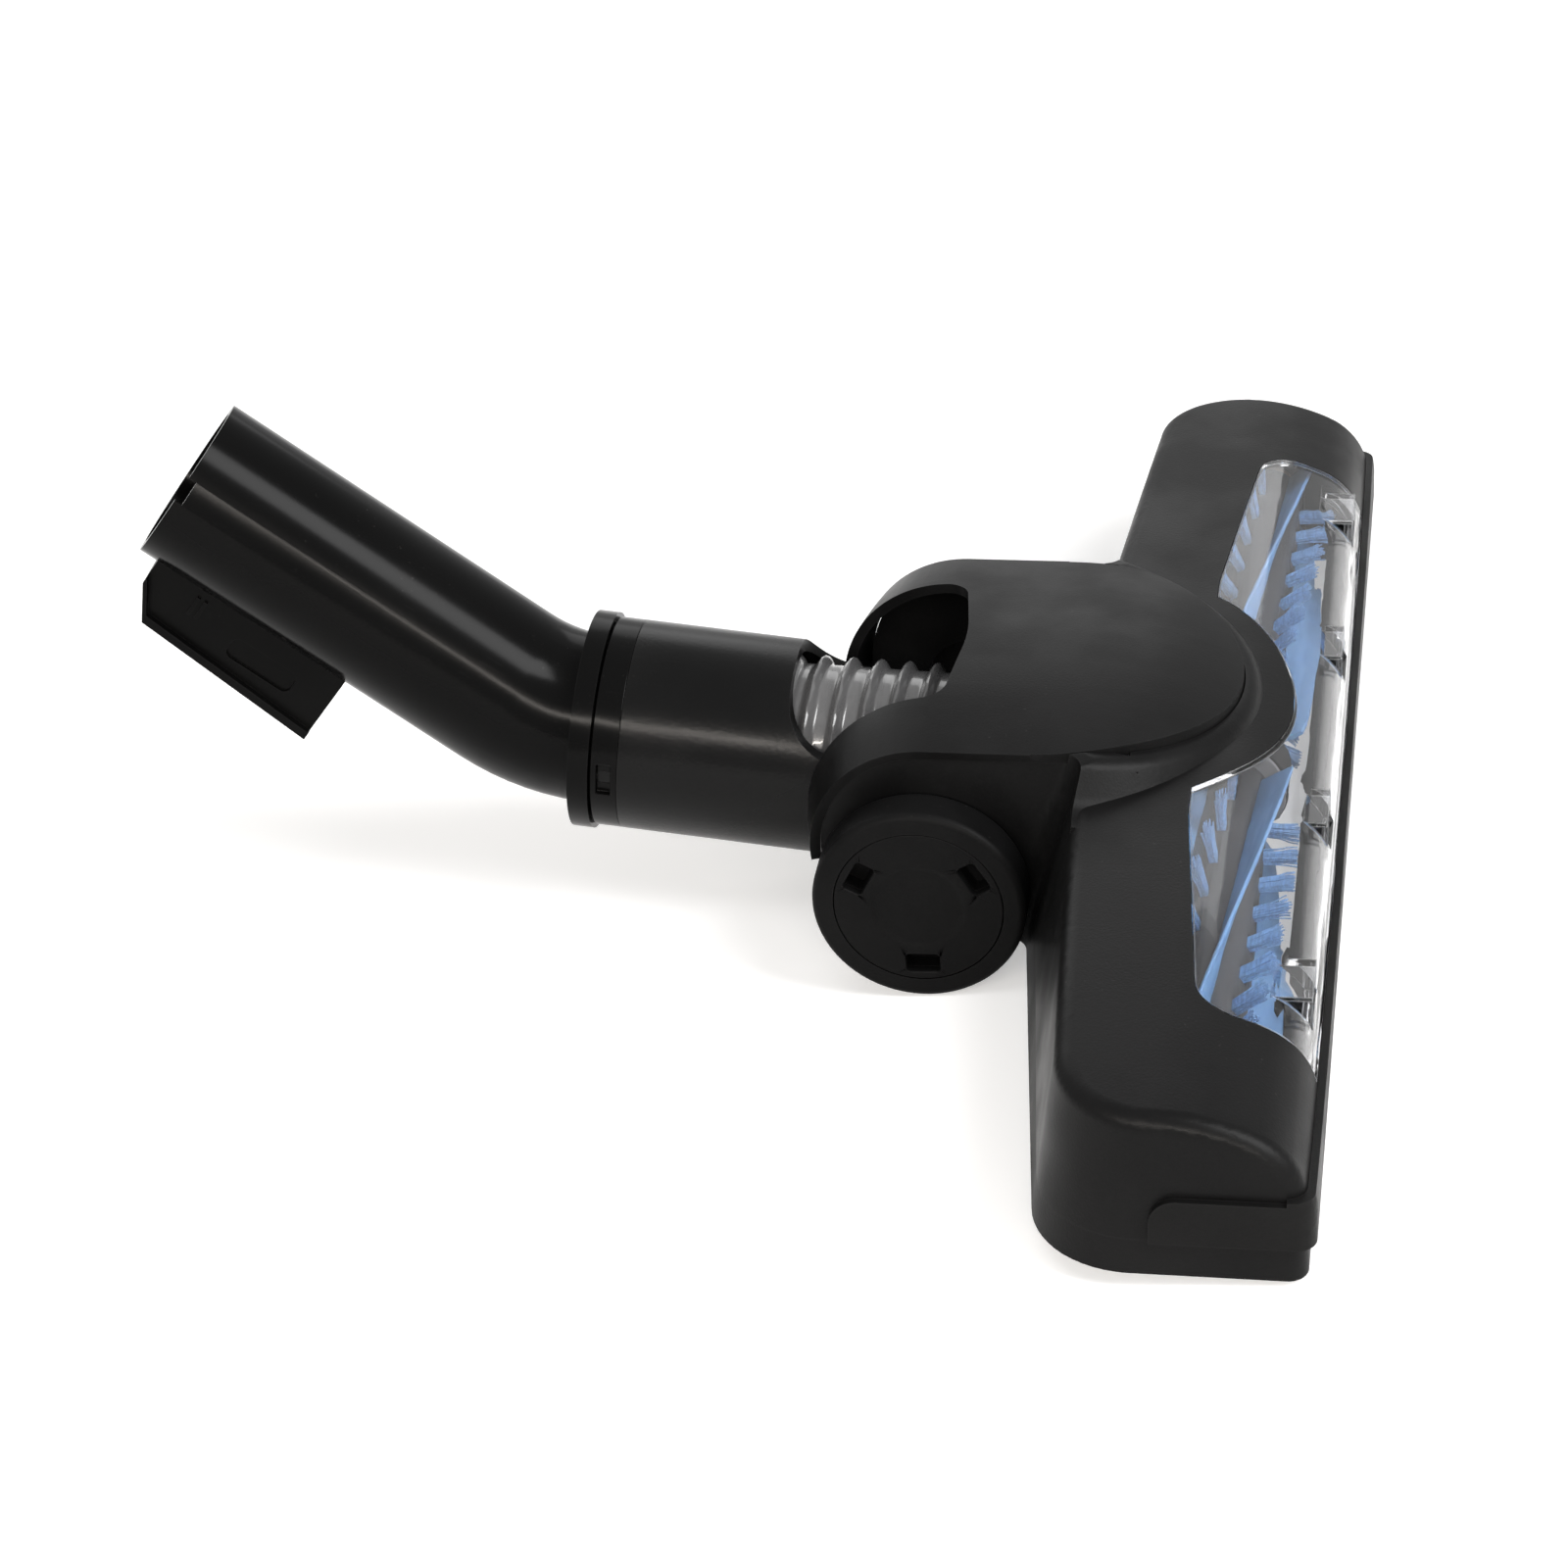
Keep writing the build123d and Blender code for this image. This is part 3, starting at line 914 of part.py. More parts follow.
def make_pieces():
    """Every piece of the brush head under its node name."""
    blades = roller_blades()
    tufts = bristle_tufts()
    bush_y = ROLLER_HALF + BUSH_OFFSET
    bush = cylinder_y(BUSH_RADIUS, bush_y, bush_y + BUSH_LENGTH, ROLLER_X, ROLLER_Z)
    bush -= cylinder_y(ROLLER_SHAFT_RADIUS + RUNNING_GAP, 0, FAR, ROLLER_X, ROLLER_Z)
    pieces = {
        "upper_housing": upper_housing(),
        "turbine_cover": turbine_cover(),
        "window": window(),
        "lower_housing": lower_housing(),
        "front_bumper": front_bumper(),
        "sole_plate": sole_plate(),
        "base_screws": base_screws(),
        "roller_blades": blades,
        "bristle_tufts": tufts,
        "roller_core": roller_core(blades, tufts),
        "roller_shaft": cylinder_y(ROLLER_SHAFT_RADIUS, -ROLLER_SHAFT_HALF, ROLLER_SHAFT_HALF,
                                   ROLLER_X, ROLLER_Z),
        "roller_pulley": pulley(PULLEY_RADIUS, ROLLER_WAIST_RADIUS + PRESS_GAP, PULLEY_HALF_WIDTH,
                                PULLEY_FLANGE, ROLLER_X, ROLLER_Z),
        "left_roller_bush": bush,
        "right_roller_bush": mirror(bush, Plane.XZ),
        "turbine_wheel": turbine_wheel(),
        "turbine_shaft": cylinder_y(TURBINE_SHAFT_RADIUS, *TURBINE_SHAFT_END_Y, TURBINE_X, TURBINE_Z),
        "drive_pinion": pulley(PINION_RADIUS, TURBINE_SHAFT_RADIUS + PRESS_GAP, PULLEY_HALF_WIDTH,
                               PULLEY_FLANGE, TURBINE_X, TURBINE_Z),
        "turbine_casing": turbine_casing(),
        "drive_belt": drive_belt(),
        "neck_tube": neck_tube(),
        "swivel_collar": swivel_collar(),
        "corrugated_hose": corrugated_hose(),
        "hose_cuff": hose_cuff(),
        "elbow_tube": elbow_tube(),
        "swivel_retainer": swivel_retainer(),
        "parking_clip": parking_clip(),
    }
    for side, (y_from, y_to) in zip(("right", "left"), turbine_bearing_spans()):
        bearing = cylinder_y(TURBINE_BEARING_RADIUS, y_from, y_to, TURBINE_X, TURBINE_Z)
        bearing -= cylinder_y(TURBINE_SHAFT_RADIUS + RUNNING_GAP, -FAR, FAR, TURBINE_X, TURBINE_Z)
        pieces[f"{side}_turbine_bearing"] = bearing
    for name, solid in (("wheel", wheel()), ("hub_cap", hub_cap()), ("axle_pin", axle_pin())):
        pieces[f"left_{name}"] = solid
        pieces[f"right_{name}"] = mirror(solid, Plane.XZ)
    return pieces


PIECES = make_pieces()
LEAN = Rot(0, HEAD_PITCH, 0)
BOX = Compound([LEAN * solid for piece in PIECES.values() for solid in piece.solids()]).bounding_box()
PLACE = Pos(-(BOX.min.X + BOX.max.X) / 2, 0, -BOX.min.Z) * LEAN
os.makedirs("parts", exist_ok=True)
for node, piece in PIECES.items():
    placed = [PLACE * solid for solid in piece.solids()]
    export_step(placed[0] if len(placed) == 1 else Compound(placed), f"parts/{node}.step")
print(f"box {BOX.size.X:.2f} x {BOX.size.Y:.2f} x {BOX.size.Z:.2f}, lean {HEAD_PITCH:.4f}, "
      f"shift {PLACE.position.X:.4f}, lift {PLACE.position.Z:.4f}")
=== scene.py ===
"""Finishes, hose, bristles and studio of an air-driven vacuum floor brush head."""

import json
import logging
import math
import random
from dataclasses import dataclass
from enum import Enum
from typing import ClassVar, Mapping, Optional, Sequence, Union

import bmesh
import bpy
from mathutils import Matrix, Quaternion, Vector


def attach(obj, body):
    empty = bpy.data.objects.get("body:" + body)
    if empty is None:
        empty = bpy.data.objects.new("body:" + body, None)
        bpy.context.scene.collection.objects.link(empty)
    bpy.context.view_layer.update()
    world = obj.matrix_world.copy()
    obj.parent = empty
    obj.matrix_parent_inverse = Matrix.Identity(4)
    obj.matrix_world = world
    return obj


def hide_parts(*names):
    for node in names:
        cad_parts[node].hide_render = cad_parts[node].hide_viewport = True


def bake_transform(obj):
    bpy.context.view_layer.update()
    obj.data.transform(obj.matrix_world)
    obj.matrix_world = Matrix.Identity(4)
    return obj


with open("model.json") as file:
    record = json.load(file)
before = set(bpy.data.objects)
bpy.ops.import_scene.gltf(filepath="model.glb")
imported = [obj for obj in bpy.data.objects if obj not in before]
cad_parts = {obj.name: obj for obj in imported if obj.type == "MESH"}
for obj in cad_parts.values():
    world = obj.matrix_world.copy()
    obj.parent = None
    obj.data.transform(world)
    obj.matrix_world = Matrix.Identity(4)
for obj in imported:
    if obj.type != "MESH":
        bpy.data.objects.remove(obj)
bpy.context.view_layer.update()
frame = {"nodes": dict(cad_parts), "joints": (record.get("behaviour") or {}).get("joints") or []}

MM = 0.001
LOG = logging.getLogger("brush_head")
Colour = tuple[float, float, float]
Span = tuple[float, float]
Socket = bpy.types.NodeSocket
Sockets = Mapping[str, Socket]
Value = Union[float, Socket]
WHITE: Colour = (1.0, 1.0, 1.0)
SIDES = ("left", "right")


class Body(str, Enum):
    """Rigid bodies that carry the pieces made here."""

    HEAD = "head"
    NECK = "neck"
    BRUSH = "brush"


class Graph:
    """Adds and links the nodes of one shader tree."""

    def __init__(self, tree: bpy.types.NodeTree) -> None:
        """Starts with an empty tree."""
        self.tree = tree
        tree.nodes.clear()

    def node(self, kind: str, **settings: object) -> bpy.types.Node:
        """Adds a node.

        Args:
            kind: Blender's name of the node type.
            settings: properties of the node by name.

        Returns:
            The new node.
        """
        made = self.tree.nodes.new(kind)
        for name, value in settings.items():
            setattr(made, name, value)
        return made

    def feed(self, target: Socket, value: Value) -> None:
        """Sets a socket to a number or links another socket to it.

        Args:
            target: socket that takes the value.
            value: number or socket.
        """
        if isinstance(value, bpy.types.NodeSocket):
            self.tree.links.new(value, target)
        else:
            target.default_value = value

    def math(self, operation: str, first: Value, second: Value = 0.0, clamp: bool = False) -> Socket:
        """Adds a Math node.

        Args:
            operation: Blender's name of the operation.
            first: first number or socket.
            second: second number or socket.
            clamp: True to hold the result between 0 and 1.

        Returns:
            The socket of the result.
        """
        made = self.node("ShaderNodeMath", operation=operation, use_clamp=clamp)
        self.feed(made.inputs[0], first)
        self.feed(made.inputs[1], second)
        return made.outputs[0]

    def ramp(self, value: Socket, low: float, high: float, to_low: float = 0.0,
             to_high: float = 1.0) -> Socket:
        """Maps a value smoothly from one span to another.

        Args:
            value: socket to map.
            low: start of the span that is read.
            high: end of the span that is read.
            to_low: result at low.
            to_high: result at high.

        Returns:
            The socket of the mapped value.
        """
        made = self.node("ShaderNodeMapRange", interpolation_type="SMOOTHSTEP")
        self.feed(made.inputs["Value"], value)
        limits = {"From Min": low, "From Max": high, "To Min": to_low, "To Max": to_high}
        for name, number in limits.items():
            made.inputs[name].default_value = number
        return made.outputs["Result"]

    def noise(self, place: Socket, scale: Value, detail: float) -> Socket:
        """Adds a Noise texture.

        Args:
            place: coordinates of the surface.
            scale: scale of the noise.
            detail: number of finer layers.

        Returns:
            The socket of its value.
        """
        made = self.node("ShaderNodeTexNoise")
        self.feed(made.inputs["Vector"], place)
        self.feed(made.inputs["Scale"], scale)
        made.inputs["Detail"].default_value = detail
        return made.outputs["Fac"]

    def tint(self, mask: Socket, base: Union[Colour, Socket], other: Colour) -> Socket:
        """Mixes two colours by a mask.

        Args:
            mask: share of the other colour.
            base: colour where the mask is 0.
            other: colour where the mask is 1.

        Returns:
            The socket of the mixed colour.
        """
        made = self.node("ShaderNodeMix", data_type="RGBA")
        colours = [socket for socket in made.inputs if socket.type == "RGBA"]
        self.feed(made.inputs["Factor"], mask)
        self.feed(colours[0], base if isinstance(base, bpy.types.NodeSocket) else (*base, 1.0))
        colours[1].default_value = (*other, 1.0)
        return next(socket for socket in made.outputs if socket.type == "RGBA")

    def relief(self, shader: bpy.types.Node, height: Socket, depth: float) -> None:
        """Bumps a shader's normal.

        Args:
            shader: shader that takes the normal.
            height: height of the surface.
            depth: depth of the bump, in millimetres.
        """
        bump = self.node("ShaderNodeBump")
        bump.inputs["Distance"].default_value = depth * MM
        self.feed(bump.inputs["Height"], height)
        self.feed(shader.inputs["Normal"], bump.outputs["Normal"])


class SurfaceEffect:
    """A shader node group that is built once and placed in each material with its own values."""

    name = ""
    inputs: tuple[tuple[str, float], ...] = ()
    outputs: tuple[str, ...] = ()

    def __init__(self) -> None:
        """Makes the group's sockets and wires it."""
        self.tree = bpy.data.node_groups.new(self.name, "ShaderNodeTree")
        graph = Graph(self.tree)
        for name, default in self.inputs:
            socket = self.tree.interface.new_socket(name, in_out="INPUT", socket_type="NodeSocketFloat")
            socket.default_value = default
        for name in self.outputs:
            self.tree.interface.new_socket(name, in_out="OUTPUT", socket_type="NodeSocketFloat")
        given = graph.node("NodeGroupInput").outputs
        results = graph.node("NodeGroupOutput").inputs
        place = graph.node("ShaderNodeTexCoord").outputs
        for name, socket in self.wire(graph, given, place).items():
            graph.feed(results[name], socket)

    def wire(self, graph: Graph, given: Sockets, place: Sockets) -> dict[str, Socket]:
        """Wires the effect.

        Args:
            graph: the group's nodes.
            given: sockets of the group's inputs.
            place: sockets of the surface's coordinates.

        Returns:
            The socket for each output by name.
        """
        raise NotImplementedError

    def scale(self, graph: Graph, given: Sockets) -> Socket:
        """Turns the group's Size, in millimetres, into a texture scale.

        Args:
            graph: the group's nodes.
            given: sockets of the group's inputs.

        Returns:
            The socket of the scale.
        """
        return graph.math("DIVIDE", 1.0 / MM, given["Size"])

    def put(self, graph: Graph, **values: float) -> Sockets:
        """Places the group in a material.

        Args:
            graph: the material's nodes.
            values: the group's inputs by name.

        Returns:
            The group's output sockets.
        """
        made = graph.node("ShaderNodeGroup", node_tree=self.tree)
        for name, value in values.items():
            made.inputs[name].default_value = value
        return made.outputs


class MouldGrain(SurfaceEffect):
    """Fine pitted texture that a spark-eroded mould leaves on plastic."""

    name = "mould_grain"
    inputs = (("Size", 0.6),)
    outputs = ("Height", "Patch")
    cell_height = 0.6
    fine_height = 0.5
    fine_rate = 1.7
    fine_detail = 3.0
    patch_rate = 0.02
    patch_detail = 4.0

    def wire(self, graph: Graph, given: Sockets, place: Sockets) -> dict[str, Socket]:
        """Mixes small cells with noise, and adds broad patches of tone."""
        scale = self.scale(graph, given)
        cells = graph.node("ShaderNodeTexVoronoi", feature="SMOOTH_F1")
        graph.feed(cells.inputs["Vector"], place["Object"])
        graph.feed(cells.inputs["Scale"], scale)
        fine_scale = graph.math("MULTIPLY", scale, self.fine_rate)
        fine = graph.noise(place["Object"], fine_scale, self.fine_detail)
        height = graph.math("ADD", graph.math("MULTIPLY", cells.outputs["Distance"], self.cell_height),
                            graph.math("MULTIPLY", fine, self.fine_height))
        patch_scale = graph.math("MULTIPLY", scale, self.patch_rate)
        patch = graph.noise(place["Object"], patch_scale, self.patch_detail)
        return {"Height": height, "Patch": patch}


class ScuffMarks(SurfaceEffect):
    """Hair-thin rub marks in two directions."""

    name = "scuff_marks"
    inputs = (("Size", 8.0),)
    outputs = ("Mask",)
    turns_and_squeezes = ((0.5, 14.0), (-0.9, 18.0))
    detail = 2.0
    crest_span: Span = (0.66, 0.72)
    gate_rate = 0.3
    gate_span: Span = (0.45, 0.7)

    def wire(self, graph: Graph, given: Sockets, place: Sockets) -> dict[str, Socket]:
        """Crosses two stretched noises and keeps only their thin crests."""
        scale = self.scale(graph, given)
        crests = []
        for turn, squeeze in self.turns_and_squeezes:
            lay = graph.node("ShaderNodeMapping")
            graph.feed(lay.inputs["Vector"], place["Object"])
            lay.inputs["Rotation"].default_value = (turn, turn / 2, turn)
            lay.inputs["Scale"].default_value = (1.0, squeeze, 1.0)
            lines = graph.noise(lay.outputs["Vector"], scale, self.detail)
            crests.append(graph.ramp(lines, *self.crest_span))
        broad = graph.noise(place["Object"], graph.math("MULTIPLY", scale, self.gate_rate), self.detail)
        gate = graph.ramp(broad, *self.gate_span)
        return {"Mask": graph.math("MULTIPLY", graph.math("MAXIMUM", *crests), gate)}


class SettledDust(SurfaceEffect):
    """Pale specks that settle on faces that look up."""

    name = "settled_dust"
    inputs = (("Size", 1.2),)
    outputs = ("Mask",)
    slope_span: Span = (0.1, 0.9)
    speck_span: Span = (0.68, 0.8)
    speck_detail = 2.0
    drift_rate = 0.03
    drift_span: Span = (0.4, 0.75)
    drift_detail = 3.0

    def wire(self, graph: Graph, given: Sockets, place: Sockets) -> dict[str, Socket]:
        """Thins small specks by the slope and by broad noise."""
        slope = graph.node("ShaderNodeSeparateXYZ")
        graph.feed(slope.inputs[0], place["Normal"])
        facing = graph.ramp(slope.outputs["Z"], *self.slope_span)
        scale = self.scale(graph, given)
        specks = graph.ramp(graph.noise(place["Object"], scale, self.speck_detail), *self.speck_span)
        broad_scale = graph.math("MULTIPLY", scale, self.drift_rate)
        drift = graph.ramp(graph.noise(place["Object"], broad_scale, self.drift_detail), *self.drift_span)
        return {"Mask": graph.math("MULTIPLY", graph.math("MULTIPLY", specks, drift), facing)}


class EdgeRub(SurfaceEffect):
    """Mask along convex and concave edges, where handling polishes the texture."""

    name = "edge_rub"
    inputs = (("Radius", 0.6),)
    outputs = ("Mask",)
    samples = 6
    match_span: Span = (0.8, 1.0)
    uneven_scale = 90.0
    uneven_detail = 3.0
    uneven_span: Span = (0.3, 0.7)
    uneven_least = 0.4

    def wire(self, graph: Graph, given: Sockets, place: Sockets) -> dict[str, Socket]:
        """Compares the surface's normal with one that is rounded over the radius."""
        rounded = graph.node("ShaderNodeBevel", samples=self.samples)
        graph.feed(rounded.inputs["Radius"], graph.math("MULTIPLY", given["Radius"], MM))
        flat = graph.node("ShaderNodeNewGeometry")
        match = graph.node("ShaderNodeVectorMath", operation="DOT_PRODUCT")
        graph.feed(match.inputs[0], rounded.outputs["Normal"])
        graph.feed(match.inputs[1], flat.outputs["Normal"])
        worn = graph.ramp(match.outputs["Value"], *self.match_span, 1.0, 0.0)
        broad = graph.noise(place["Object"], self.uneven_scale, self.uneven_detail)
        uneven = graph.ramp(broad, *self.uneven_span, self.uneven_least)
        return {"Mask": graph.math("MULTIPLY", worn, uneven)}


class FlowStreaks(SurfaceEffect):
    """Soft streaks along one way, as in drawn bristle, extruded strip or moulded tube."""

    name = "flow_streaks"
    inputs = (("Size", 1.0), ("Stretch", 12.0))
    outputs = ("Tone",)
    detail = 4.0

    def wire(self, graph: Graph, given: Sockets, place: Sockets) -> dict[str, Socket]:
        """Stretches noise along the roller's length."""
        lay = graph.node("ShaderNodeCombineXYZ")
        parts = graph.node("ShaderNodeSeparateXYZ")
        graph.feed(parts.inputs[0], place["Object"])
        graph.feed(lay.inputs["X"], parts.outputs["X"])
        graph.feed(lay.inputs["Y"], graph.math("DIVIDE", parts.outputs["Y"], given["Stretch"]))
        graph.feed(lay.inputs["Z"], parts.outputs["Z"])
        return {"Tone": graph.noise(lay.outputs[0], self.scale(graph, given), self.detail)}


@dataclass(frozen=True)
class Effects:
    """The shared effects, each built once."""

    grain: MouldGrain
    scuffs: ScuffMarks
    dust: SettledDust
    edges: EdgeRub
    streaks: FlowStreaks


def principled(name: str) -> tuple[bpy.types.Material, Graph, bpy.types.Node, bpy.types.Node]:
    """Starts a material with a Principled shader.

    Args:
        name: the material's name.

    Returns:
        The material, its nodes, the shader and the output node.
    """
    material = bpy.data.materials.new(name)
    material.use_nodes = True
    graph = Graph(material.node_tree)
    shader = graph.node("ShaderNodeBsdfPrincipled")
    output = graph.node("ShaderNodeOutputMaterial")
    graph.feed(output.inputs["Surface"], shader.outputs[0])
    return material, graph, shader, output


def shaded(colour: Colour, gain: float, lift: float = 0.0) -> Colour:
    """Lightens or darkens a colour.

    Args:
        colour: colour to change.
        gain: factor on each part.
        lift: amount that is added to each part.

    Returns:
        The new colour, no part above 1.
    """
    return tuple(min(1.0, part * gain + lift) for part in colour)


@dataclass(frozen=True)
class MouldedPlastic:
    """Opaque moulded plastic with grain, patches, rubbed edges, marks and dust, sizes in millimetres."""

    edge_radius: ClassVar[float] = 0.7
    mark_size: ClassVar[float] = 9.0
    speck_size: ClassVar[float] = 1.1
    patch_span: ClassVar[Span] = (0.3, 0.7)
    patch_shade: ClassVar[Span] = (1.35, 0.001)
    worn_shade: ClassVar[Span] = (1.8, 0.006)
    mark_tint: ClassVar[float] = 0.5
    mark_haze: ClassVar[float] = 0.2
    edge_polish: ClassVar[float] = 0.12
    dust_colour: ClassVar[Colour] = (0.45, 0.44, 0.42)

    name: str
    colour: Colour
    roughness: float
    grain_size: float
    grain_depth: float
    spread: float = 0.08
    edge_lift: float = 0.5
    scuffs: float = 0.3
    dust: float = 0.25
    specular: float = 0.5

    def build(self, effects: Effects) -> bpy.types.Material:
        """Builds the material.

        Args:
            effects: the shared effects.

        Returns:
            The finished material.
        """
        material, graph, shader, _ = principled(self.name)
        grain = effects.grain.put(graph, Size=self.grain_size)
        edge = effects.edges.put(graph, Radius=self.edge_radius)["Mask"]
        marks = effects.scuffs.put(graph, Size=self.mark_size)["Mask"]
        specks = effects.dust.put(graph, Size=self.speck_size)["Mask"]
        light = shaded(self.colour, *self.patch_shade)
        worn = shaded(self.colour, *self.worn_shade)
        patchy = graph.tint(graph.ramp(grain["Patch"], *self.patch_span), self.colour, light)
        rubbed = graph.tint(graph.math("MULTIPLY", edge, self.edge_lift), patchy, worn)
        marked = graph.tint(graph.math("MULTIPLY", marks, self.mark_tint * self.scuffs), rubbed, worn)
        dusty = graph.tint(graph.math("MULTIPLY", specks, self.dust), marked, self.dust_colour)
        graph.feed(shader.inputs["Base Color"], dusty)
        gloss = graph.ramp(grain["Patch"], *self.patch_span,
                           self.roughness - self.spread, self.roughness + self.spread)
        polish = graph.math("MULTIPLY", edge, self.edge_polish * self.edge_lift)
        haze = graph.math("MULTIPLY", marks, self.mark_haze * self.scuffs)
        gloss = graph.math("ADD", graph.math("SUBTRACT", gloss, polish), haze, clamp=True)
        graph.feed(shader.inputs["Roughness"], gloss)
        shader.inputs["Specular IOR Level"].default_value = self.specular
        graph.relief(shader, grain["Height"], self.grain_depth)
        return material


@dataclass(frozen=True)
class ClearPlastic:
    """Clear moulded window that lets lamps through to what lies behind it, sizes in millimetres."""

    ripple_size: ClassVar[float] = 14.0
    ripple_stretch: ClassVar[float] = 3.0
    ripple_depth: ClassVar[float] = 0.05
    mark_size: ClassVar[float] = 6.0
    mark_haze: ClassVar[float] = 0.12
    edge_radius: ClassVar[float] = 0.8
    edge_frost: ClassVar[float] = 0.6

    name: str
    colour: Colour
    lamp_tint: Colour
    roughness: float
    bend: float

    def build(self, effects: Effects) -> bpy.types.Material:
        """Builds the material.

        Args:
            effects: the shared effects.

        Returns:
            The finished material.
        """
        material, graph, shader, output = principled(self.name)
        ripples = effects.streaks.put(graph, Size=self.ripple_size, Stretch=self.ripple_stretch)["Tone"]
        marks = effects.scuffs.put(graph, Size=self.mark_size)["Mask"]
        edge = effects.edges.put(graph, Radius=self.edge_radius)["Mask"]
        shader.inputs["Base Color"].default_value = (*self.colour, 1.0)
        shader.inputs["Transmission Weight"].default_value = 1.0
        shader.inputs["IOR"].default_value = self.bend
        hazed = graph.math("ADD", self.roughness, graph.math("MULTIPLY", marks, self.mark_haze))
        frosted = graph.math("MULTIPLY", edge, self.edge_frost)
        graph.feed(shader.inputs["Roughness"], graph.math("ADD", hazed, frosted, clamp=True))
        graph.relief(shader, ripples, self.ripple_depth)
        clear = graph.node("ShaderNodeBsdfTransparent")
        clear.inputs["Color"].default_value = (*self.lamp_tint, 1.0)
        rays = graph.node("ShaderNodeLightPath")
        mix = graph.node("ShaderNodeMixShader")
        graph.feed(mix.inputs["Fac"], rays.outputs["Is Shadow Ray"])
        graph.feed(mix.inputs[1], shader.outputs[0])
        graph.feed(mix.inputs[2], clear.outputs[0])
        graph.feed(output.inputs["Surface"], mix.outputs[0])
        return material


@dataclass(frozen=True)
class StreakedPlastic:
    """Bristle, strip or hose plastic with streaks along its length, sizes in millimetres."""

    stretch: ClassVar[float] = 8.0
    streak_depth: ClassVar[float] = 0.04
    streak_span: ClassVar[Span] = (0.35, 0.65)
    gloss_span: ClassVar[Span] = (0.3, 0.7)
    smoother: ClassVar[float] = 0.06
    rougher: ClassVar[float] = 0.08
    mark_size: ClassVar[float] = 5.0
    mark_tint: ClassVar[float] = 0.4
    mark_shade: ClassVar[Span] = (1.3, 0.05)
    glow_depth: ClassVar[float] = 1.5

    name: str
    colour: Colour
    roughness: float
    streak_size: float
    contrast: float = 0.35
    passes: float = 0.0
    coat: float = 0.0

    def build(self, effects: Effects) -> bpy.types.Material:
        """Builds the material.

        Args:
            effects: the shared effects.

        Returns:
            The finished material.
        """
        material, graph, shader, _ = principled(self.name)
        tone = effects.streaks.put(graph, Size=self.streak_size, Stretch=self.stretch)["Tone"]
        marks = effects.scuffs.put(graph, Size=self.mark_size)["Mask"]
        dark = shaded(self.colour, 1.0 - self.contrast)
        pale = shaded(self.colour, *self.mark_shade)
        streaked = graph.tint(graph.ramp(tone, *self.streak_span), self.colour, dark)
        marked = graph.tint(graph.math("MULTIPLY", marks, self.mark_tint), streaked, pale)
        graph.feed(shader.inputs["Base Color"], marked)
        gloss = graph.ramp(tone, *self.gloss_span,
                           self.roughness - self.smoother, self.roughness + self.rougher)
        graph.feed(shader.inputs["Roughness"], gloss)
        shader.inputs["Subsurface Weight"].default_value = self.passes
        shader.inputs["Subsurface Radius"].default_value = self.colour
        shader.inputs["Subsurface Scale"].default_value = self.glow_depth * MM
        shader.inputs["Coat Weight"].default_value = self.coat
        graph.relief(shader, tone, self.streak_depth)
        return material


@dataclass(frozen=True)
class TurnedMetal:
    """Steel or bronze with fine turning marks and worn patches, sizes in millimetres."""

    grain_size: ClassVar[float] = 0.5
    grain_depth: ClassVar[float] = 0.01
    dull_gain: ClassVar[float] = 0.72
    dull_span: ClassVar[Span] = (0.35, 0.65)
    gloss_span: ClassVar[Span] = (0.3, 0.7)
    smoother: ClassVar[float] = 0.05
    rougher: ClassVar[float] = 0.1
    mark_size: ClassVar[float] = 3.0
    mark_haze: ClassVar[float] = 0.15

    name: str
    colour: Colour
    roughness: float

    def build(self, effects: Effects) -> bpy.types.Material:
        """Builds the material.

        Args:
            effects: the shared effects.

        Returns:
            The finished material.
        """
        material, graph, shader, _ = principled(self.name)
        grain = effects.grain.put(graph, Size=self.grain_size)
        marks = effects.scuffs.put(graph, Size=self.mark_size)["Mask"]
        dull = shaded(self.colour, self.dull_gain)
        patchy = graph.tint(graph.ramp(grain["Patch"], *self.dull_span), self.colour, dull)
        graph.feed(shader.inputs["Base Color"], patchy)
        shader.inputs["Metallic"].default_value = 1.0
        gloss = graph.ramp(grain["Patch"], *self.gloss_span,
                           self.roughness - self.smoother, self.roughness + self.rougher)
        haze = graph.math("MULTIPLY", marks, self.mark_haze)
        graph.feed(shader.inputs["Roughness"], graph.math("ADD", gloss, haze))
        graph.relief(shader, grain["Height"], self.grain_depth)
        return material


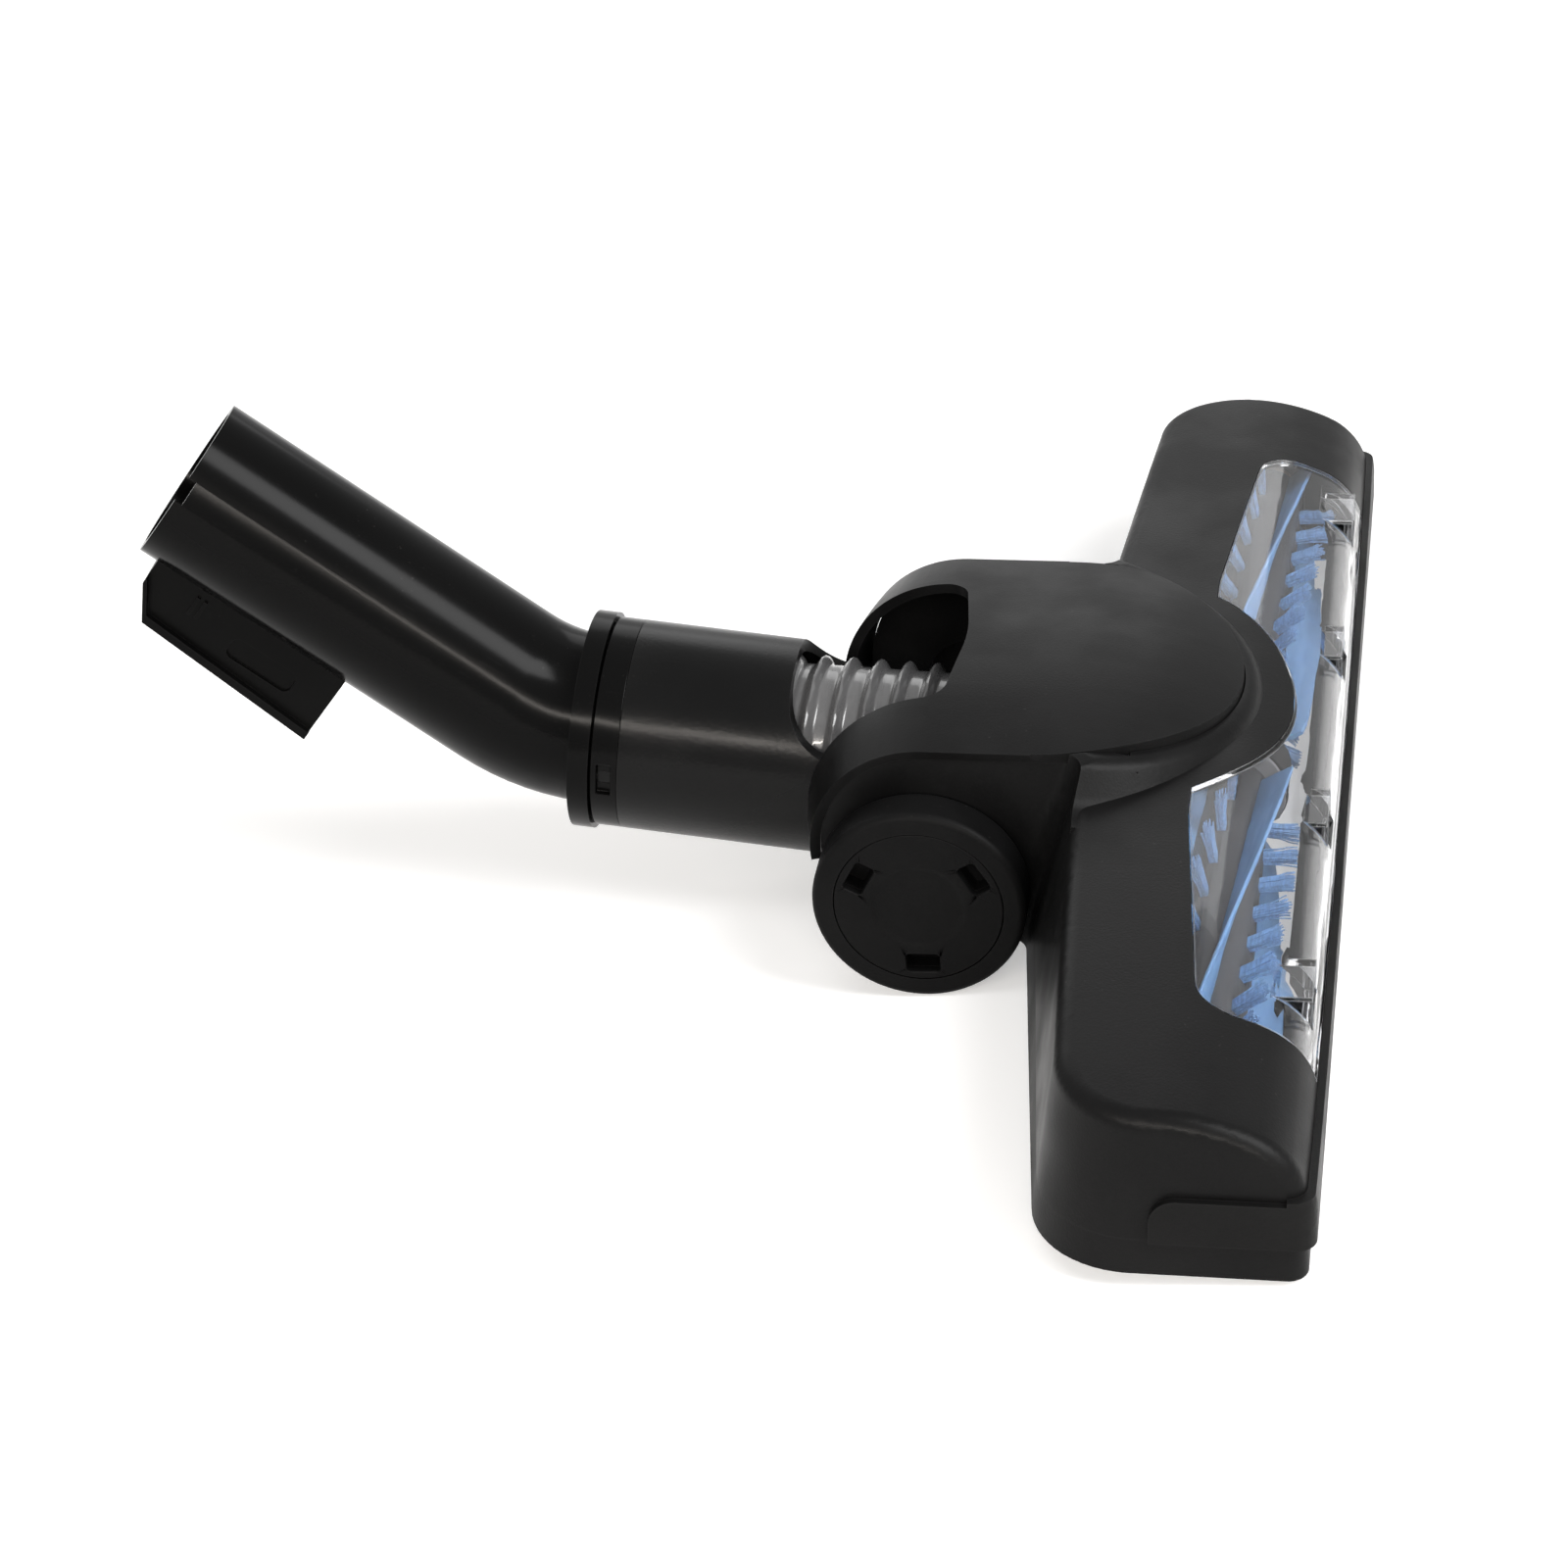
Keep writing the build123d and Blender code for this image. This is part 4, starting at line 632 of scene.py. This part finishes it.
class Finish(Enum):
    """Every finish of the brush head, named for the surface that wears it."""

    HOUSING = MouldedPlastic(
        "housing_black", colour=(0.0035, 0.0035, 0.0036), roughness=0.4, grain_size=0.55,
        grain_depth=0.03, dust=0.06, specular=0.09)
    COVER = MouldedPlastic(
        "cover_black", colour=(0.0035, 0.0035, 0.0036), roughness=0.4, grain_size=0.45,
        grain_depth=0.022, dust=0.06, specular=0.1)
    BASE = MouldedPlastic(
        "base_black", colour=(0.004, 0.004, 0.0041), roughness=0.46, grain_size=0.6,
        grain_depth=0.035, dust=0.05, specular=0.09)
    BUMPER = MouldedPlastic(
        "bumper_black", colour=(0.004, 0.004, 0.004), roughness=0.46, grain_size=0.5,
        grain_depth=0.03, edge_lift=0.7, dust=0.05, specular=0.09)
    WHEEL = MouldedPlastic(
        "wheel_black", colour=(0.003, 0.003, 0.0031), roughness=0.5, grain_size=0.5,
        grain_depth=0.03, dust=0.05, specular=0.06)
    NECK = MouldedPlastic(
        "neck_black", colour=(0.002, 0.002, 0.002), roughness=0.3, grain_size=0.9,
        grain_depth=0.03, dust=0.05, specular=0.14)
    GLOSS = MouldedPlastic(
        "tube_gloss_black", colour=(0.0015, 0.0015, 0.0015), roughness=0.19, grain_size=2.5,
        grain_depth=0.003, spread=0.03, dust=0.08, specular=0.07)
    CLIP = MouldedPlastic(
        "clip_black", colour=(0.002, 0.002, 0.002), roughness=0.36, grain_size=0.9,
        grain_depth=0.01, dust=0.06, specular=0.05)
    INNER = MouldedPlastic(
        "inner_grey", colour=(0.20, 0.20, 0.21), roughness=0.45, grain_size=0.6, grain_depth=0.03)
    ROLLER = MouldedPlastic(
        "roller_grey", colour=(0.055, 0.055, 0.057), roughness=0.42, grain_size=0.8,
        grain_depth=0.02, specular=0.3)
    BELT = MouldedPlastic(
        "belt_black", colour=(0.015, 0.015, 0.015), roughness=0.7, grain_size=0.4, grain_depth=0.05)
    WINDOW = ClearPlastic(
        "window_clear", colour=(0.86, 0.865, 0.88), lamp_tint=(0.5, 0.5, 0.5), roughness=0.02, bend=1.3)
    HOSE = StreakedPlastic(
        "hose_silver", colour=(0.09, 0.09, 0.092), roughness=0.22, streak_size=2.0, contrast=0.18,
        coat=0.4)
    BRISTLE = StreakedPlastic(
        "bristle_blue", colour=(0.19, 0.36, 0.66), roughness=0.4, streak_size=0.5, passes=0.15)
    BLADE = StreakedPlastic(
        "blade_blue", colour=(0.16, 0.32, 0.58), roughness=0.42, streak_size=3.0, contrast=0.15,
        passes=0.2)
    STEEL = TurnedMetal("pin_steel", colour=(0.56, 0.56, 0.58), roughness=0.25)
    BRONZE = TurnedMetal("bush_bronze", colour=(0.45, 0.31, 0.16), roughness=0.4)


class Wardrobe:
    """Builds each finish once and hands it out."""

    def __init__(self) -> None:
        """Builds the shared effects."""
        self.effects = Effects(MouldGrain(), ScuffMarks(), SettledDust(), EdgeRub(), FlowStreaks())
        self.made: dict[Finish, bpy.types.Material] = {}

    def get(self, finish: Finish) -> bpy.types.Material:
        """Gives the material of a finish, built on first use.

        Args:
            finish: the finish.

        Returns:
            Its material.
        """
        if finish not in self.made:
            self.made[finish] = finish.value.build(self.effects)
        return self.made[finish]


@dataclass(frozen=True)
class EdgeBreak:
    """Rounding of a moulded piece's edges, in millimetres and degrees."""

    width: float
    segments: int
    angle: float = 34.0


@dataclass
class Joinery:
    """Places and dresses pieces on the frame, sizes in millimetres and degrees."""

    wardrobe: Wardrobe
    weld_reach: float = 0.002
    crease_angle: float = 40.0

    def dress(self, node: str, finish: Finish, edge: Optional[EdgeBreak] = None) -> bpy.types.Object:
        """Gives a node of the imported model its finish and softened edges.

        Args:
            node: name of the node.
            finish: finish of its surface.
            edge: rounding of its edges, or None to leave them.

        Returns:
            The node's object.
        """
        piece = frame["nodes"][node]
        piece.data.materials.clear()
        piece.data.materials.append(self.wardrobe.get(finish))
        if "custom_normal" in piece.data.attributes:
            piece.data.attributes.remove(piece.data.attributes["custom_normal"])
        piece.data.polygons.foreach_set("use_smooth", [True] * len(piece.data.polygons))
        weld = piece.modifiers.new("weld", "WELD")
        weld.merge_threshold = self.weld_reach * MM
        if edge:
            bevel = piece.modifiers.new("edge_break", "BEVEL")
            bevel.width = edge.width * MM
            bevel.segments = edge.segments
            bevel.limit_method = "ANGLE"
            bevel.angle_limit = math.radians(edge.angle)
            bevel.miter_outer = "MITER_ARC"
            bevel.harden_normals = True
        normals = piece.modifiers.new("normals", "WEIGHTED_NORMAL")
        normals.keep_sharp = True
        LOG.info("dressed %s in %s", node, finish.name)
        return piece

    def add(self, name: str, shape: bmesh.types.BMesh, finish: Finish, body: Optional[Body],
            replaced: Sequence[str], slot: str) -> bpy.types.Object:
        """Makes a new piece from a mesh.

        Args:
            name: name of the piece.
            shape: its mesh in the row frame, which is freed.
            finish: finish of its surface.
            body: body that carries it, or None where it bends between two.
            replaced: nodes that it stands for.
            slot: the record's material slot; not used.

        Returns:
            The new object.
        """
        bmesh.ops.recalc_face_normals(shape, faces=shape.faces[:])
        mesh = bpy.data.meshes.new(name)
        shape.to_mesh(mesh)
        shape.free()
        mesh.polygons.foreach_set("use_smooth", [True] * len(mesh.polygons))
        mesh.set_sharp_from_angle(angle=math.radians(self.crease_angle))
        mesh.materials.append(self.wardrobe.get(finish))
        piece = bpy.data.objects.new(name, mesh)
        bpy.context.scene.collection.objects.link(piece)
        if body:
            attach(piece, body.value)
        if replaced:
            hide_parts(*replaced)
        LOG.info("added %s, %d faces", name, len(mesh.polygons))
        return piece


def pivot(name: str) -> Vector:
    """Finds where a joint of the record lies.

    Args:
        name: name of the joint.

    Returns:
        Its place in the row frame, in metres.
    """
    return Vector(next(entry for entry in frame["joints"] if entry["name"] == name)["pos_m"])


def skin(shape: bmesh.types.BMesh, rings: Sequence[Sequence[Vector]], closed: bool) -> None:
    """Adds a surface through rings of points.

    Args:
        shape: mesh that takes the surface.
        rings: rings with the same number of points.
        closed: True to join the last ring to the first, False to cap both.
    """
    rows = [[shape.verts.new(point) for point in ring] for ring in rings]
    count = len(rows[0])
    pairs = list(zip(rows, rows[1:])) + ([(rows[-1], rows[0])] if closed else [])
    for lower, upper in pairs:
        for index in range(count):
            after = (index + 1) % count
            shape.faces.new((lower[index], lower[after], upper[after], upper[index]))
    if not closed:
        shape.faces.new(list(reversed(rows[0])))
        shape.faces.new(rows[-1])


def axis_frame(origin: Vector, along: Vector) -> Matrix:
    """Frame with +Z along a direction in the XZ plane and +Y kept.

    Args:
        origin: place of the frame.
        along: direction of its +Z axis.

    Returns:
        The matrix from the frame to the row frame.
    """
    z_axis = along.normalized()
    y_axis = Vector((0.0, 1.0, 0.0))
    x_axis = y_axis.cross(z_axis)
    turn = Matrix((x_axis, y_axis, z_axis)).transposed()
    return Matrix.Translation(origin) @ turn.to_4x4()


@dataclass
class HeadShell:
    """Housing, cover, window, bumper, base and what they hold."""

    joinery: Joinery
    soft: EdgeBreak = EdgeBreak(0.5, 3)
    fine: EdgeBreak = EdgeBreak(0.25, 2)
    lip: EdgeBreak = EdgeBreak(0.6, 3)

    def build(self) -> None:
        """Dresses every piece of the head."""
        for node, finish, edge in (
                ("upper_housing", Finish.HOUSING, self.soft), ("turbine_cover", Finish.COVER, self.soft),
                ("window", Finish.WINDOW, self.lip), ("lower_housing", Finish.BASE, self.soft),
                ("front_bumper", Finish.BUMPER, self.fine), ("sole_plate", Finish.BASE, self.fine),
                ("base_screws", Finish.STEEL, self.fine), ("turbine_casing", Finish.INNER, self.fine),
                ("drive_belt", Finish.BELT, self.fine)):
            self.joinery.dress(node, finish, edge)
        for side in SIDES:
            self.joinery.dress(f"{side}_roller_bush", Finish.BRONZE, self.fine)
            self.joinery.dress(f"{side}_turbine_bearing", Finish.BRONZE, self.fine)
            self.joinery.dress(f"{side}_axle_pin", Finish.STEEL, self.fine)


@dataclass
class Turbine:
    """Turbine wheel with its shaft and pinion."""

    joinery: Joinery
    fine: EdgeBreak = EdgeBreak(0.15, 1)

    def build(self) -> None:
        """Dresses the turbine."""
        self.joinery.dress("turbine_wheel", Finish.INNER, self.fine)
        self.joinery.dress("turbine_shaft", Finish.STEEL, self.fine)
        self.joinery.dress("drive_pinion", Finish.STEEL, self.fine)


@dataclass
class Wheels:
    """Rear wheels and their hub caps."""

    joinery: Joinery
    rim: EdgeBreak = EdgeBreak(0.3, 2)

    def build(self) -> None:
        """Dresses both wheels."""
        for side in SIDES:
            self.joinery.dress(f"{side}_wheel", Finish.WHEEL, self.rim)
            self.joinery.dress(f"{side}_hub_cap", Finish.WHEEL, self.rim)


@dataclass
class BrushRoller:
    """Roller core with flexible blades and bristle tufts, sizes in millimetres and degrees."""

    joinery: Joinery
    tip_radius: float = 15.4
    root_radius: float = 7.2
    half_length: float = 125.0
    bare_half: float = 9.0
    helix_rate: float = 0.6
    phase: float = 24.229
    rows: int = 4
    blade_root: float = 1.6
    blade_tip: float = 0.9
    blade_steps: int = 72
    lip_steps: int = 4
    tuft_pitch: float = 12.0
    tuft_width: float = 4.0
    tuft_depth: float = 2.0
    root_width: float = 0.9
    root_depth: float = 0.8
    scatter: float = 0.3
    fibres_across: int = 9
    fibres_deep: int = 4
    fibre_radius: float = 0.2
    fibre_taper: float = 0.25
    fibre_corners: int = 5
    fibre_places: tuple[float, ...] = (0.0, 0.5, 1.0)
    trim: Span = (0.2, 1.0)
    fan: float = 0.16
    fan_vary: float = 0.5
    fan_gain: float = 3.0
    seed: int = 7
    pulley_edge: EdgeBreak = EdgeBreak(0.2, 1)

    def __post_init__(self) -> None:
        """Reads the roller's axis from the frame."""
        self.centre = pivot("brush_spin")

    def spans(self) -> list[Span]:
        """Divides the roller at its bare middle.

        Returns:
            The low and high Y of each half.
        """
        return [(self.bare_half, self.half_length), (-self.half_length, -self.bare_half)]

    def angle(self, y: float, row: float) -> float:
        """Angle of a helical row above +X.

        Args:
            y: place along the roller.
            row: number of the row, with halves between the blades.

        Returns:
            The angle in degrees.
        """
        return self.phase - self.helix_rate * y + 360.0 * row / self.rows

    def place(self, radius: float, aside: float, y: float, angle: float) -> Vector:
        """Point on the roller.

        Args:
            radius: distance from the axis along the blade.
            aside: distance across the blade.
            y: place along the roller.
            angle: the blade's angle above +X.

        Returns:
            The point in the row frame, in metres.
        """
        turn = math.radians(angle)
        x = radius * math.cos(turn) - aside * math.sin(turn)
        z = radius * math.sin(turn) + aside * math.cos(turn)
        return self.centre + Vector((x, y, z)) * MM

    def blades(self) -> bmesh.types.BMesh:
        """Makes the helical strips, which taper to a rounded lip.

        Returns:
            Their mesh.
        """
        shape = bmesh.new()
        root, tip = self.blade_root / 2, self.blade_tip / 2
        reach = self.tip_radius - tip
        lip = [math.pi * step / self.lip_steps for step in range(1, self.lip_steps)]
        outline = [(self.root_radius, -root), (reach, -tip)]
        outline += [(reach + tip * math.sin(turn), -tip * math.cos(turn)) for turn in lip]
        outline += [(reach, tip), (self.root_radius, root)]
        for low, high in self.spans():
            for row in range(self.rows):
                rings = []
                for step in range(self.blade_steps + 1):
                    y = low + (high - low) * step / self.blade_steps
                    angle = self.angle(y, row)
                    rings.append([self.place(radius, aside, y, angle) for radius, aside in outline])
                skin(shape, rings, closed=False)
        return shape

    def fibre(self, shape: bmesh.types.BMesh, y: float, angle: float, across: float, deep: float,
              draw: random.Random) -> None:
        """Adds one bristle.

        Args:
            shape: mesh that takes it.
            y: middle of its tuft along the roller.
            angle: angle of its tuft.
            across: its place along the roller from the tuft's middle.
            deep: its place across the tuft.
            draw: source of its small differences.
        """
        lean = self.fan * (1.0 + draw.uniform(-self.fan_vary, self.fan_vary))
        reach = self.tip_radius - self.root_radius - draw.uniform(*self.trim)
        rings = []
        for share in self.fibre_places:
            radius = self.root_radius + reach * share
            spread = 1.0 + lean * share * share * self.fan_gain
            thick = self.fibre_radius * (1.0 - self.fibre_taper * share)
            ring = []
            for corner in range(self.fibre_corners):
                turn = 2.0 * math.pi * corner / self.fibre_corners
                ring.append(self.place(radius, deep * spread + thick * math.cos(turn),
                                       y + across * spread + thick * math.sin(turn), angle))
            rings.append(ring)
        skin(shape, rings, closed=False)

    def tuft(self, shape: bmesh.types.BMesh, y: float, angle: float, draw: random.Random) -> None:
        """Adds one tuft of fibres on a loose grid.

        Args:
            shape: mesh that takes it.
            y: middle of the tuft along the roller.
            angle: angle of the tuft.
            draw: source of small differences.
        """
        def cell(index: int, count: int) -> float:
            """Loose place of one fibre in a row, as a share of the row from its middle."""
            return (index + 0.5 + draw.uniform(-self.scatter, self.scatter)) / count - 0.5

        for i in range(self.fibres_across):
            for k in range(self.fibres_deep):
                across = self.tuft_width * cell(i, self.fibres_across)
                deep = self.tuft_depth * cell(k, self.fibres_deep)
                self.fibre(shape, y, angle, across * self.root_width, deep * self.root_depth, draw)

    def bristles(self) -> bmesh.types.BMesh:
        """Makes the tufts of fibres, in helical rows between the blades.

        Returns:
            Their mesh.
        """
        shape = bmesh.new()
        draw = random.Random(self.seed)
        for low, high in self.spans():
            count = int((high - low) // self.tuft_pitch)
            margin = (high - low - (count - 1) * self.tuft_pitch) / 2
            for row in range(self.rows):
                for index in range(count):
                    y = low + margin + index * self.tuft_pitch
                    self.tuft(shape, y, self.angle(y, row + 0.5), draw)
        return shape

    def build(self) -> None:
        """Makes blades and bristles and dresses the rest of the roller."""
        self.joinery.add("spiral_blades", self.blades(), Finish.BLADE, Body.BRUSH, ["roller_blades"],
                         "blade_blue")
        self.joinery.add("bristles", self.bristles(), Finish.BRISTLE, Body.BRUSH, ["bristle_tufts"],
                         "bristle_blue")
        self.joinery.dress("roller_core", Finish.ROLLER)
        self.joinery.dress("roller_shaft", Finish.STEEL)
        self.joinery.dress("roller_pulley", Finish.INNER, self.pulley_edge)


@dataclass
class Neck:
    """Tilting neck with its ribbed hose, sizes in millimetres and degrees."""

    joinery: Joinery
    hose_rise: float = 3.2
    hose_climb: float = 7.3
    hose_start: float = -8.0
    hose_pitch: float = 6.0
    hose_ribs: int = 9
    crest_radius: float = 18.4
    root_radius: float = 16.4
    bore_radius: float = 15.4
    crest_share: float = 0.62
    steps: int = 14
    segments: int = 96
    bend_from: float = -7.0
    bend_to: float = 32.0
    tube_edge: EdgeBreak = EdgeBreak(0.4, 2)
    ring_edge: EdgeBreak = EdgeBreak(0.3, 2)

    def __post_init__(self) -> None:
        """Lays the hose's axis above the neck's pivot, climbing a little to the rear."""
        climb = math.radians(self.hose_climb)
        origin = pivot("neck_tilt") + Vector((0.0, 0.0, self.hose_rise * MM))
        self.frame = axis_frame(origin, Vector((-math.cos(climb), 0.0, math.sin(climb))))

    def rib(self, turns: float) -> float:
        """Height of the hose's spiral rib.

        Args:
            turns: turns from the start of the spiral.

        Returns:
            The height as a share of the crest's.
        """
        away = abs(turns - round(turns)) / (self.crest_share / 2)
        return 0.5 + 0.5 * math.cos(math.pi * away) if away < 1.0 else 0.0

    def ring(self, along: float, sunk: float) -> list[Vector]:
        """Ring of points round the hose's axis, which the spiral rib crosses.

        Args:
            along: place along the hose.
            sunk: depth of the ring below the outer face.

        Returns:
            The points in the row frame, in metres.
        """
        points = []
        for index in range(self.segments):
            share = index / self.segments
            rise = self.rib((along - self.hose_start) / self.hose_pitch + share)
            radius = self.root_radius + (self.crest_radius - self.root_radius) * rise - sunk
            turn = 2.0 * math.pi * share
            point = Vector((radius * math.cos(turn), radius * math.sin(turn), along))
            points.append(self.frame @ (point * MM))
        return points

    def hose(self) -> bmesh.types.BMesh:
        """Makes the hose with a narrow spiral rib and broad valleys, open at both ends.

        Returns:
            Its mesh.
        """
        shape = bmesh.new()
        wall = self.root_radius - self.bore_radius
        places = [self.hose_start + self.hose_pitch * step / self.steps
                  for step in range(self.hose_ribs * self.steps + 1)]
        outer = [self.ring(along, 0.0) for along in places]
        inner = [self.ring(along, wall) for along in places]
        skin(shape, outer + inner[::-1], closed=True)
        return shape

    def build(self) -> None:
        """Makes the hose and dresses the neck."""
        hose = self.joinery.add("hose_bellows", self.hose(), Finish.HOSE, None, ["corrugated_hose"],
                                "hose_grey")
        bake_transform(hose)
        self.joinery.dress("neck_tube", Finish.NECK, self.tube_edge)
        self.joinery.dress("swivel_collar", Finish.GLOSS, self.ring_edge)
        self.joinery.dress("hose_cuff", Finish.INNER, self.ring_edge)
        self.joinery.dress("swivel_retainer", Finish.INNER, self.ring_edge)


@dataclass
class Elbow:
    """Swivelling elbow tube and its parking clip."""

    joinery: Joinery
    rim: EdgeBreak = EdgeBreak(0.45, 3)

    def build(self) -> None:
        """Dresses the elbow."""
        self.joinery.dress("elbow_tube", Finish.GLOSS, self.rim)
        self.joinery.dress("parking_clip", Finish.CLIP, self.rim)


@dataclass(frozen=True)
class SoftBox:
    """A rectangular lamp that faces the object, in metres, watts and degrees.

    The lean turns the box in its own plane, and a box that isn't mirrored stays out of reflections.
    """

    name: str
    toward: tuple[float, float, float]
    distance: float
    size: Span
    power: float
    lean: float = 0.0
    tint: Colour = WHITE
    mirrored: bool = True


@dataclass
class Studio:
    """Pale floor, soft lights and the camera, sizes in metres, millimetres of lens and degrees."""

    azimuth: float = 13.8123
    elevation: float = 30.5842
    roll: float = -9.2618
    distance: float = 0.87905
    target: tuple[float, float, float] = (0.005055, 0.0, 0.021556)
    lens: float = 93.69
    sensor: float = 36.0
    nearest: float = 0.01
    floor_size: float = 12.0
    floor_shade: float = 0.8
    floor_roughness: float = 0.9
    floor_glow: float = 0.4
    sky_felt: float = 0.35
    first_bounce: float = 0.5
    boxes: tuple[SoftBox, ...] = (
        SoftBox("key_box", toward=(0.724, -0.31, 0.622), distance=1.3, size=(0.5, 0.9), power=18.0),
        SoftBox("top_box", toward=(-0.1, -0.25, 1.0), distance=1.4, size=(0.9, 0.5), power=3.0,
                mirrored=False),
        SoftBox("front_strip", toward=(0.05, -0.84, 0.45), distance=1.3, size=(1.6, 0.06), power=14.0,
                lean=-20.0, tint=(1.0, 0.94, 0.87)),
        SoftBox("back_box", toward=(-0.2, 0.84, 0.5), distance=1.4, size=(1.4, 0.6), power=4.0))

    def camera(self) -> None:
        """Puts the camera where the object is seen as in the reference view."""
        turn, lift, roll = (math.radians(angle) for angle in (self.azimuth, self.elevation, self.roll))
        flat = math.cos(lift)
        back = Vector((math.sin(turn) * flat, -math.cos(turn) * flat, math.sin(lift)))
        level = Vector((math.cos(turn), math.sin(turn), 0.0))
        rise = back.cross(level)
        right = level * math.cos(roll) + rise * math.sin(roll)
        up = rise * math.cos(roll) - level * math.sin(roll)
        data = bpy.data.cameras.new("camera")
        data.sensor_width = self.sensor
        data.lens = self.lens
        data.clip_start = self.nearest
        camera = bpy.data.objects.new("camera", data)
        stand = Matrix.Translation(Vector(self.target) + back * self.distance)
        camera.matrix_world = stand @ Matrix((right, up, back)).transposed().to_4x4()
        bpy.context.scene.collection.objects.link(camera)
        bpy.context.scene.camera = camera

    def lamp(self, box: SoftBox) -> None:
        """Adds a soft box.

        Args:
            box: the box and its place.
        """
        data = bpy.data.lights.new(box.name, "AREA")
        data.shape = "RECTANGLE"
        data.size, data.size_y = box.size
        data.energy = box.power
        data.color = box.tint
        lamp = bpy.data.objects.new(box.name, data)
        away = Vector(box.toward).normalized()
        lean = Quaternion((0.0, 0.0, 1.0), math.radians(box.lean))
        lamp.location = Vector(self.target) + away * box.distance
        lamp.rotation_mode = "QUATERNION"
        lamp.rotation_quaternion = away.to_track_quat("Z", "Y") @ lean
        lamp.visible_glossy = box.mirrored
        bpy.context.scene.collection.objects.link(lamp)

    def seen(self, graph: Graph) -> Socket:
        """Finds the rays that show the surroundings to the camera, straight, mirrored or through glass.

        Args:
            graph: nodes of the floor's material or of the world.

        Returns:
            The socket of a mask that is 1 on those rays.
        """
        rays = graph.node("ShaderNodeLightPath").outputs
        mirrored = graph.math("MAXIMUM", rays["Is Glossy Ray"], rays["Is Transmission Ray"])
        shown = graph.math("MAXIMUM", rays["Is Camera Ray"], mirrored)
        direct = graph.math("LESS_THAN", rays["Diffuse Depth"], self.first_bounce)
        return graph.math("MULTIPLY", shown, direct)

    def floor(self) -> None:
        """Adds the pale floor, which reads white to the camera and keeps the shadow."""
        shape = bmesh.new()
        bmesh.ops.create_grid(shape, x_segments=1, y_segments=1, size=self.floor_size / 2)
        mesh = bpy.data.meshes.new("floor")
        shape.to_mesh(mesh)
        shape.free()
        material, graph, shader, _ = principled("floor_pale")
        shader.inputs["Base Color"].default_value = (*shaded(WHITE, self.floor_shade), 1.0)
        shader.inputs["Roughness"].default_value = self.floor_roughness
        shader.inputs["Specular IOR Level"].default_value = 0.0
        shader.inputs["Emission Color"].default_value = (*WHITE, 1.0)
        glow = graph.math("MULTIPLY", self.seen(graph), self.floor_glow)
        graph.feed(shader.inputs["Emission Strength"], glow)
        mesh.materials.append(material)
        floor = bpy.data.objects.new("floor", mesh)
        bpy.context.scene.collection.objects.link(floor)

    def world(self) -> None:
        """Lights the scene softly from all round and shows white behind the object."""
        world = bpy.data.worlds.new("studio")
        world.use_nodes = True
        graph = Graph(world.node_tree)
        strength = graph.math("MAXIMUM", self.seen(graph), self.sky_felt)
        shade = graph.node("ShaderNodeBackground")
        graph.feed(shade.inputs["Strength"], strength)
        output = graph.node("ShaderNodeOutputWorld")
        graph.feed(output.inputs["Surface"], shade.outputs[0])
        bpy.context.scene.world = world

    def build(self) -> None:
        """Sets the stage."""
        self.camera()
        self.floor()
        self.world()
        for box in self.boxes:
            self.lamp(box)
        bpy.context.scene.view_settings.view_transform = "Standard"


def main() -> None:
    """Builds the studio and every sub-assembly."""
    logging.basicConfig(level=logging.INFO, format="%(name)s: %(message)s")
    joinery = Joinery(Wardrobe())
    Studio().build()
    for assembly in (HeadShell(joinery), Turbine(joinery), Wheels(joinery), BrushRoller(joinery),
                     Neck(joinery), Elbow(joinery)):
        assembly.build()
        LOG.info("%s done", type(assembly).__name__)


if __name__ == "__main__":
    main()
